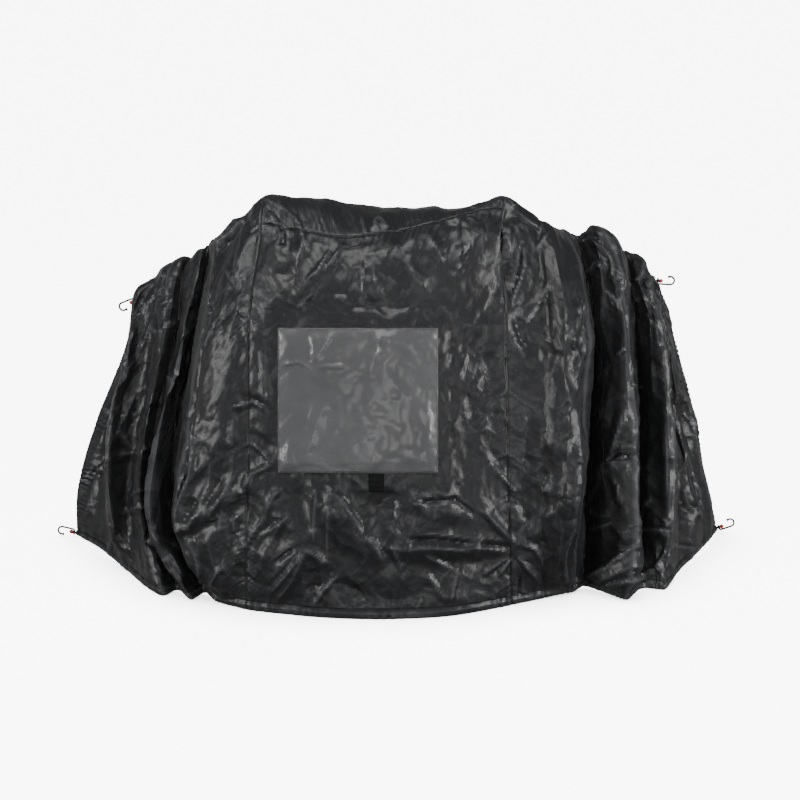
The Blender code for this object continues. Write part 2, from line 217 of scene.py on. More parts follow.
def make_lights():
    for box in SOFT_BOXES:
        light = bpy.data.lights.new(box.name, "AREA")
        light.shape = "RECTANGLE"
        light.size = box.width
        light.size_y = box.height
        light.energy = box.power
        lamp = add_object("soft_box_" + box.name, light)
        lamp.visible_camera = False
        lamp.location = box.place
        lamp.rotation_euler = (Vector(box.aim) - lamp.location).to_track_quat("-Z", "Y").to_euler()


make_floor()
make_sky()
make_lights()
print("soft boxes:", len(SOFT_BOXES))

# %% [markdown]
# ## The lines of the cloth
# Folded cloth could be sculpted or simulated from flat pieces, but neither would land on the
# folds that the frame already has. So the sheet is described the way a draper would: by the
# lines that run up it from the hem to the rear edge. Every crest and every valley of a pleat
# is one line with seven known points. Between two lines the cloth is straight, and at a line
# it turns over a small rounding.
# The seven points of a line are its stations: the foot at the hem, three on the way up at
# fixed shares of the height named tall, the brow where the front ends, the crown on top and
# the back at the rear edge. bend is how far the rounding reaches towards the next lines.
# %% The fold table, in centimetres
Fold = namedtuple("Fold", "name bend tall foot low mid high brow crown back")
FOLDS = (
    Fold("left_edge", 0.20, 78, (-107, 23, 0.5), (-106, 26), (-100, 28), (-91, 29),
         (-86.5, 29, 73), (-85, 29, 78), (-84, 29, 81)),
    Fold("left_gather", 0.35, 80, (-98, 11, 1), (-96, 20), (-93, 23), (-88, 24),
         (-85.5, 25, 76), (-84, 26, 81), (-82, 29, 83)),
    Fold("outer_left_crest", 0.12, 85, (-88.5, -3, 0), (-92.5, -6), (-93, 0), (-88, 8),
         (-85, 15, 79), (-83, 20, 85.8), (-79, 29, 85.5)),
    Fold("outer_left_valley", 0.40, 90, (-80, -19, 0.3), (-85, 2), (-83, 7), (-80, 13),
         (-79, 18, 84), (-76.5, 22, 89.8), (-74, 29, 87)),
    Fold("soft_left_ridge", 0.30, 95, (-73, -27.5, 0), (-81.5, -13), (-80, -5), (-74.5, 3),
         (-71.5, 10, 88.5), (-68.5, 17, 95.5), (-66, 29, 89)),
    Fold("soft_left_valley", 0.30, 97, (-69, -22, 0.5), (-78, -5), (-75.5, 2), (-70, 9),
         (-67.5, 14, 90.5), (-64.5, 19.5, 96.3), (-62, 29, 90)),
    Fold("middle_left_crest", 0.12, 100, (-64, -30, 0), (-76, -27), (-74, -18), (-67.5, -8),
         (-63, 4, 93), (-61, 13, 101), (-58, 29, 91)),
    Fold("inner_left_valley", 0.30, 102, (-60, -24, 0.5), (-69.5, -7), (-69.5, 1), (-63, 6),
         (-60, 11, 94), (-58.5, 16, 101.5), (-55, 29, 92)),
    Fold("inner_left_crest", 0.12, 105, (-56, -31.5, 0), (-68.5, -30), (-65, -23), (-61, -14),
         (-58, -2, 98), (-56.5, 8, 105), (-52, 29, 94)),
    Fold("left_shoulder", 0.50, 112, (-51, -34, 0), (-57, -33), (-56, -27), (-52.5, -18),
         (-50.5, -5, 104.5), (-49.5, 8, 111.5), (-47, 29, 96)),
    Fold("left_seam", 0.50, 117, (-47, -37, 0), (-45.5, -35), (-45, -28.5), (-44.5, -20),
         (-42, -7, 110), (-41, 3, 118), (-42, 29, 97)),
    Fold("window_left", 0.50, 117, (-39, -39.5, 0), (-38.2, -37.5), (-37.2, -31), (-37, -22.5),
         (-34, -12, 109), (-35.5, 3, 119.5), (-34, 29, 98)),
    Fold("front_left", 0.50, 117, (-24, -43, 0), (-21.5, -40.5), (-20, -34), (-19.5, -25.5),
         (-19, -16, 106.5), (-22, 4, 118), (-20, 29, 99)),
    Fold("front_middle", 0.50, 117, (-6, -44.5, 0), (-5, -41.5), (-4, -34.5), (-4, -26),
         (-5, -15, 109), (-4, 5, 115.5), (-4, 29, 99)),
    Fold("window_right", 0.50, 117, (12, -43, 0), (12.3, -39), (12, -32), (12, -23),
         (10.5, -12, 112), (12, 5, 115), (12, 29, 99)),
    Fold("front_right", 0.50, 117, (24, -38.5, 0), (23, -36), (22, -29.5), (21.5, -21),
         (21, -8, 114), (22, 4, 115.5), (22, 29, 98.5)),
    Fold("right_seam", 0.50, 117, (34, -33.5, 0), (33, -32), (32, -26.5), (31, -18),
         (30.5, -4, 114.5), (31.5, 4, 118), (31, 29, 98)),
    Fold("right_shoulder", 0.50, 112, (43, -29, 0), (43.5, -31.5), (43.5, -27), (43.5, -18),
         (42, -3, 107), (42, 6, 112.5), (41, 29, 97)),
    Fold("inner_right_crest", 0.12, 108, (54, -23, 0), (55, -29), (56, -24), (57, -15),
         (54, -2, 102), (50, 8, 108.5), (47.5, 29, 95.5)),
    Fold("inner_right_valley", 0.30, 107, (57.5, -19, 0.5), (57, -3), (57.5, 4), (58.5, 8),
         (56, 12, 99.5), (52, 16, 103.5), (51, 29, 92.5)),
    Fold("middle_right_crest", 0.12, 106, (69.5, -30, 0), (73, -25.5), (72.5, -17), (70.5, -8),
         (67, 3, 99.5), (60, 13, 107.6), (57.5, 29, 94.5)),
    Fold("middle_right_valley", 0.30, 101, (75, -21, 0.5), (74.5, 3), (74.5, 10), (73.5, 13),
         (71, 16, 94.5), (68, 20, 100), (65, 29, 92)),
    Fold("outer_right_crest", 0.12, 98, (82.5, -22, 0), (86, -13.5), (85.5, -6), (83, 3),
         (79, 11, 89), (75, 19, 97), (70, 29, 91)),
    Fold("outer_right_valley", 0.35, 93, (88, -8, 0.3), (87.5, 11), (87, 15), (84, 18),
         (80.5, 20, 85.5), (77, 23, 92.5), (73.5, 29, 89.5)),
    Fold("right_gather", 0.30, 90, (98, 10, 1), (95, 14), (90.5, 17), (86.5, 19),
         (82.5, 22, 83), (79, 25, 89), (77, 29, 88.5)),
    Fold("right_edge", 0.20, 84, (105.5, 27, 0.5), (101, 29), (96.5, 29), (90, 29),
         (85, 29, 79), (82.5, 29, 84.5), (81, 29, 87)),
)
NAMES = [fold.name for fold in FOLDS]
CENTRE = np.array((-1.04, -7.28, -0.05)) * CM    # the frame's origin in the table's own sizes
STATION_SHARES = (0.22, 0.48, 0.75)              # heights of low, mid and high over tall
TOP_SEAM = 4.2                                   # stations: foot 0, low 1 ... crown 5, back 6
LEFT_SEAM = NAMES.index("left_seam")
RIGHT_SEAM = NAMES.index("right_seam")


def station_points(fold):
    between = zip(STATION_SHARES, (fold.low, fold.mid, fold.high))
    middle = [(x, y, share * fold.tall) for share, (x, y) in between]
    return [fold.foot, *middle, fold.brow, fold.crown, fold.back]


LINES = np.array([station_points(fold) for fold in FOLDS]) * CM - CENTRE
BENDS = np.array([fold.bend for fold in FOLDS])
LAST_LINE = len(FOLDS) - 1
LAST_STATION = LINES.shape[1] - 1
print("lines:", len(FOLDS), "stations:", LAST_STATION + 1)


# %% Smooth curves through the lines' points
def curve_between(before, start, end, after, t):
    """Points from start to end on a smooth curve that also runs through before and after."""
    leave = (end - before) / 2
    arrive = (after - start) / 2
    return ((2 * t**3 - 3 * t**2 + 1) * start + (t**3 - 2 * t**2 + t) * leave
            + (3 * t**2 - 2 * t**3) * end + (t**3 - t**2) * arrive)


def on_line(index, v):
    """Points on the numbered lines at the stations v."""
    at = np.clip(np.floor(v).astype(int), 0, LAST_STATION - 1)
    return curve_between(LINES[index, np.maximum(at - 1, 0)], LINES[index, at],
                         LINES[index, at + 1], LINES[index, np.minimum(at + 2, LAST_STATION)],
                         (v - at)[:, None])


# %% [markdown]
# On the left the faces between the lines are pulled straight. On the right the pleats stand
# open, and their broad faces belly out. A round belly would look like a pipe, so a face bends
# in four flat strips. It stays close to its neighbour at the valley, is fullest towards the
# crest, and is straight again at its foot and at the rear edge.
# %% The bellied faces of the right pleats
PLEAT_BULGE = 0.34           # of a face's width, as it is seen from the front
BULGE_SHARES = (0.0, 0.26, 0.62, 0.86, 1.0)      # edges of the strips, from valley to crest
BULGE_HEIGHTS = (0.0, 0.55, 1.0, 0.6, 0.0)
BULGE_WANDER = 0.07          # how far the strips' edges wander on their way up
WANDER_UP, WANDER_ALONG = 2.3, 1.7               # radians a station, and a line
BULGE_FOOT = 0.7             # stations over which it grows from the foot
BULGE_FULL, BULGE_NONE = 4.0, 5.5                # stations where it starts and ends to fade
IS_VALLEY = np.array(["valley" in name for name in NAMES])


def pleat_bulge(u, v):
    """How far the faces of the right pleats belly out between their lines."""
    first = np.clip(np.floor(u).astype(int), 0, LAST_LINE - 1)
    run = on_line(first + 1, v) - on_line(first, v)
    out = np.stack([run[:, 1], -run[:, 0], np.zeros(len(u))], axis=1)
    from_valley = np.where(IS_VALLEY[first], u - first, first + 1 - u)
    inside = np.sin(np.clip(from_valley, 0, 1) * np.pi)
    wander = BULGE_WANDER * np.sin(v * WANDER_UP + first * WANDER_ALONG) * inside
    full = np.interp(from_valley + wander, BULGE_SHARES, BULGE_HEIGHTS)
    share = full * np.abs(run[:, 0]) * PLEAT_BULGE * (first > RIGHT_SEAM)
    share *= np.clip(v / BULGE_FOOT, 0, 1)
    share *= np.clip((BULGE_NONE - v) / (BULGE_NONE - BULGE_FULL), 0, 1)
    return out / np.linalg.norm(out, axis=1, keepdims=True) * share[:, None]


# %% The folded surface
def folded(u, v):
    """The pleated cloth: u counts the lines, v the stations. A line turns over a rounding."""
    near = np.clip(np.floor(u + 0.5).astype(int), 0, LAST_LINE)
    turn = on_line(near, v)
    left = on_line(np.maximum(near - 1, 0), v)
    right = on_line(np.minimum(near + 1, LAST_LINE), v)
    off = (u - near)[:, None]
    bend = BENDS[near][:, None]
    straight = turn + np.where(off < 0, turn - left, right - turn) * off
    start = turn + (left - turn) * bend
    end = turn + (right - turn) * bend
    t = np.clip((off + bend) / (2 * bend), 0, 1)
    rounded = (1 - t)**2 * start + 2 * t * (1 - t) * turn + t**2 * end
    inner = (near > 0) & (near < LAST_LINE)
    points = np.where((np.abs(off) < bend) & inner[:, None], rounded, straight)
    return points + pleat_bulge(u, v)


# %% [markdown]
# The frame's solids also have a few folds that lie across the lines, such as the tucked feet
# of the pleats. They bring the cloth forward by a known height around a straight stroke.
# %% Folds across the lines
Crease = namedtuple("Crease", "name start end rise spread")
CREASES = (
    Crease("tongue_ridge", (-68, 21), (-47, 38), 1.8, 3.0),
    Crease("tongue_trough", (-76, 13), (-50, 33), -2.0, 3.5),
    Crease("left_foot_ridge", (-66, 16), (-60, 3), 1.6, 3.5),
    Crease("right_tuck_ridge", (76, 10), (55, 1), 2.0, 3.5),
    Crease("right_tuck_trough", (74, 18), (56, 9), -2.0, 4.0),
    Crease("middle_right_kink", (64, 41), (73, 42), -1.6, 3.0),
    Crease("outer_right_tuck", (88, 8), (66, 1), 1.6, 3.0),
    Crease("outer_right_kink", (74, 17), (87, 16), 1.6, 3.0),
    Crease("star_trough", (-2, 17), (33, 15), -1.4, 3.5),
    Crease("star_ridge", (3, 22), (32, 19), 1.2, 3.5),
    Crease("apron_ridge", (-22, 37), (-5, 15), 1.3, 4.0),
    Crease("apron_upright", (-26, 42), (-25, 17), 0.9, 3.0),
    Crease("apron_trough", (-30, 36), (-16, 9), -1.1, 4.0),
    Crease("brow_ridge", (-19, 106), (-31, 94), 1.2, 3.0),
    Crease("brow_trough", (-24, 106), (-36, 98), -1.2, 3.5),
    Crease("seam_hollow", (33, 112), (34, 92), -1.8, 3.0),
)
CREASED_LINES = (NAMES.index("soft_left_valley"), NAMES.index("outer_right_valley"))
CREASE_FOOT = 0.15           # stations over which they grow from the hem
CREASE_HEAD = (4.5, 5.0)     # stations where they start and end to fade
CREASE_ENDS = 0.15           # of half a wave, cut off at each end of a stroke


def beside_crease(points, start, end):
    """For each point, how far it is from a stroke in the front view, and how far along it."""
    start = np.array(start) * CM
    run = np.array(end) * CM - start
    seen = np.stack([points[:, 0] + CENTRE[0], points[:, 2]], axis=1) - start
    share = np.clip(seen @ run / (run @ run), 0, 1)
    return np.linalg.norm(seen - share[:, None] * run, axis=1), share


def cloth(u, v):
    """The middle surface of the frame's cloth, with its folds across the lines."""
    points = folded(u, v)
    rise = np.zeros(len(points))
    for crease in CREASES:
        away, share = beside_crease(points, crease.start, crease.end)
        wave = np.sin(np.pi * (CREASE_ENDS + (1 - 2 * CREASE_ENDS) * share))
        rise += crease.rise * CM * np.exp(-(away / (crease.spread * CM))**2) * wave
    first, last = CREASED_LINES
    full, none = CREASE_HEAD
    fade = np.clip(u - first, 0, 1) * np.clip(last - u, 0, 1)
    fade *= np.clip(v / CREASE_FOOT, 0, 1) * np.clip((none - v) / (none - full), 0, 1)
    points[:, 1] -= rise * fade
    return points


# %% [markdown]
# ## One even grid over the whole cover
# A weave and its wrinkles look right only when the mesh has the same fineness everywhere, and
# the lines are far apart on the front and close in the pleats. So the steps across and up are
# chosen by measured length: the cloth is measured along a few lines of each kind, and the
# steps divide the mean length evenly.
# %% Even steps
COARSE_STEP = 12 * MM
FINE_VALUES = 200            # to a line or a station, while the cloth is measured
MEASURED_STATIONS = (0.3, 1.2, 2.4, 3.6, 5.0)
MEASURED_LINES = (3, 6, 9, 13, 17, 20, 23)
SEAMS_ACROSS = (LEFT_SEAM, RIGHT_SEAM)


def metres_along(points):
    """How far along its line each point is, from 0 at the first."""
    return np.concatenate([[0], np.cumsum(np.linalg.norm(np.diff(points, axis=0), axis=1))])


def even_steps(last, measured, keep):
    """Values from 0 to last whose steps have about equal length on the cloth. measured gives
    the points for a row of fine values, and the values in keep are moved onto a step."""
    fine = np.linspace(0, last, last * FINE_VALUES + 1)
    lengths = np.mean([metres_along(row) for row in measured(fine)], axis=0)
    count = int(round(lengths[-1] / COARSE_STEP))
    values = np.interp(np.linspace(0, lengths[-1], count + 1), lengths, fine)
    for value in keep:
        values[np.argmin(np.abs(values - value))] = value
    return values, lengths[-1]


def rows_across(fine):
    return [cloth(fine, np.full(len(fine), v)) for v in MEASURED_STATIONS]


def rows_up(fine):
    return [cloth(np.full(len(fine), float(u)), fine) for u in MEASURED_LINES]


coarse_u, cloth_width = even_steps(LAST_LINE, rows_across, SEAMS_ACROSS)
coarse_v, cloth_height = even_steps(LAST_STATION, rows_up, (TOP_SEAM,))
grid_u, grid_v = np.meshgrid(coarse_u, coarse_v)
smooth_cloth = cloth(grid_u.ravel(), grid_v.ravel()).reshape(*grid_u.shape, 3)
print("grid %d x %d, cloth %.2f m by %.2f m"
      % (len(coarse_u), len(coarse_v), cloth_width, cloth_height))


# %% A sheet from a grid of points
SHARP_FROM = math.radians(16)    # an edge that bends more is a fold, and isn't shaded smooth


def sheet_object(name, points, across, up, crease_and_highlight=None):
    """A grid of points as a mesh object: create_grid makes the faces and the points place
    them. Its UV map counts metres of cloth: across and up say where each column and row is.
    crease_and_highlight, a value for each point, becomes an attribute that the material can read:
    where the coating is creased and where a highlight is painted."""
    rows, columns = points.shape[:2]
    bm = bmesh.new()
    bm.loops.layers.uv.new("cloth")
    bmesh.ops.create_grid(bm, x_segments=columns - 1, y_segments=rows - 1, size=0.5)
    mesh = bpy.data.meshes.new(name)
    bm.to_mesh(mesh)
    bm.free()
    flat = np.empty(len(mesh.vertices) * 3)
    mesh.vertices.foreach_get("co", flat)
    flat = flat.reshape(-1, 3)
    column = np.rint((flat[:, 0] + 0.5) * (columns - 1)).astype(int)
    row = np.rint((flat[:, 1] + 0.5) * (rows - 1)).astype(int)
    mesh.vertices.foreach_set("co", points[row, column].ravel())
    corner = np.empty(len(mesh.loops), dtype=int)
    mesh.loops.foreach_get("vertex_index", corner)
    metres = np.stack([across[column[corner]], up[row[corner]]], axis=1)
    mesh.uv_layers["cloth"].data.foreach_set("uv", metres.ravel())
    if crease_and_highlight is not None:
        # the crease attribute holds where the coating is creased and where a highlight is painted
        crease = mesh.attributes.new("crease", "FLOAT", "POINT")
        crease.data.foreach_set("value", crease_and_highlight[row, column])
    mesh.shade_smooth()
    mesh.update()
    mesh.set_sharp_from_angle(angle=SHARP_FROM)
    return add_object(name, mesh), row, column


# %% [markdown]
# ## Let the spare cloth buckle
# Thin coated nylon is never smooth: it has a little more length than the shape it hangs in,
# and the spare goes into small sharp buckles. Blender's cloth solver finds them by itself
# when a negative shrink factor makes the sheet a few per cent longer than it is now. Weak
# pins hold the sheet near its folds, and firm ones hold its four edges. The buckles come out
# as even as quilting, so only a share of them is kept, as the ground for the creases below.
# %% Buckling
SPARE = 0.03                 # of the sheet's length
LOOSE_PIN = 0.2
FIRM_PIN = 1.0
FIRM_STEPS = 2               # grid lines along each edge that firm pins hold
BUCKLE_SHARE = 0.3
BUCKLE_FRAMES = 24
PUSH = 2 * MM                # makes each buckle choose a side
PUSH_SCALE = 14.0


def pin_weights(rows, columns):
    weights = np.full((rows, columns), FIRM_PIN)
    weights[FIRM_STEPS:-FIRM_STEPS, FIRM_STEPS:-FIRM_STEPS] = LOOSE_PIN
    return weights


def buckled(points):
    """The points of the sheet after its spare length has buckled."""
    rows, columns = points.shape[:2]
    sheet, row, column = sheet_object("buckling", points, np.arange(columns), np.arange(rows))
    start = points[row, column]
    start[:, 1] += np.array([noise.noise(Vector(p) * PUSH_SCALE) for p in start]) * PUSH
    sheet.data.vertices.foreach_set("co", start.ravel())
    group = sheet.vertex_groups.new(name="held")
    for index, weight in enumerate(pin_weights(rows, columns)[row, column]):
        group.add([index], float(weight), "REPLACE")

    modifier = sheet.modifiers.new("cloth", "CLOTH")
    settings = modifier.settings
    settings.vertex_group_mass = "held"
    settings.pin_stiffness = 1.0
    settings.shrink_min = -SPARE
    settings.quality = 5
    settings.mass = 0.15
    settings.tension_stiffness = 30
    settings.compression_stiffness = 30
    settings.shear_stiffness = 15
    settings.bending_stiffness = 0.05
    settings.tension_damping = 8
    settings.compression_damping = 8
    settings.shear_damping = 8
    settings.bending_damping = 0.5
    settings.effector_weights.gravity = 0.0
    modifier.collision_settings.use_collision = False
    modifier.point_cache.frame_start = 1
    modifier.point_cache.frame_end = BUCKLE_FRAMES
    scene = bpy.context.scene
    for number in range(1, BUCKLE_FRAMES + 1):
        scene.frame_set(number)
    settled = sheet.evaluated_get(bpy.context.evaluated_depsgraph_get())
    moved = np.empty(len(start) * 3)
    settled.data.vertices.foreach_get("co", moved)
    result = np.empty_like(points)
    result[row, column] = moved.reshape(-1, 3)
    scene.frame_set(1)
    bpy.data.objects.remove(sheet, do_unlink=True)
    return result


coarse_cloth = smooth_cloth
coarse_cloth = smooth_cloth + BUCKLE_SHARE * (buckled(smooth_cloth) - smooth_cloth)
moved = np.linalg.norm(coarse_cloth - smooth_cloth, axis=2)
print("buckled: mean %.1f mm, most %.1f mm" % (moved.mean() / MM, moved.max() / MM))

# %% [markdown]
# ## From the coarse grid to the fine one
# The solver works on a coarse grid, because its time grows fast with the points. The creases
# that follow need a finer one, so each step is halved on a smooth curve through the points.
# %% Finer grid
FINER = 2


def refined(values, axis):
    """Values on a grid FINER times as fine along one axis, on a smooth curve."""
    values = np.moveaxis(values, axis, 0)
    count = len(values) - 1
    at = np.arange(count * FINER + 1)
    k = np.minimum(at // FINER, count - 1)
    t = ((at - k * FINER) / FINER).reshape(-1, *[1] * (values.ndim - 1))
    fine = curve_between(values[np.maximum(k - 1, 0)], values[k], values[k + 1],
                         values[np.minimum(k + 2, count)], t)
    return np.moveaxis(fine, 0, axis)


def unit(vectors):
    return vectors / np.maximum(np.linalg.norm(vectors, axis=-1, keepdims=True), 1e-9)


def outward(points):
    """A direction out of the cover at each point of a grid: the mean of its cells' normals."""
    rising = points[1:, 1:] - points[:-1, :-1]
    falling = points[1:, :-1] - points[:-1, 1:]
    cells = np.pad(unit(np.cross(rising, falling)), ((1, 1), (1, 1), (0, 0)))
    return unit(cells[1:, 1:] + cells[1:, :-1] + cells[:-1, 1:] + cells[:-1, :-1])


fine_u = refined(coarse_u, 0)
fine_v = refined(coarse_v, 0)
fine_cloth = refined(refined(coarse_cloth, 0), 1)
across = np.linspace(0, cloth_width, len(fine_u))
up = np.linspace(0, cloth_height, len(fine_v))
print("fine grid %d x %d" % (len(fine_u), len(fine_v)))

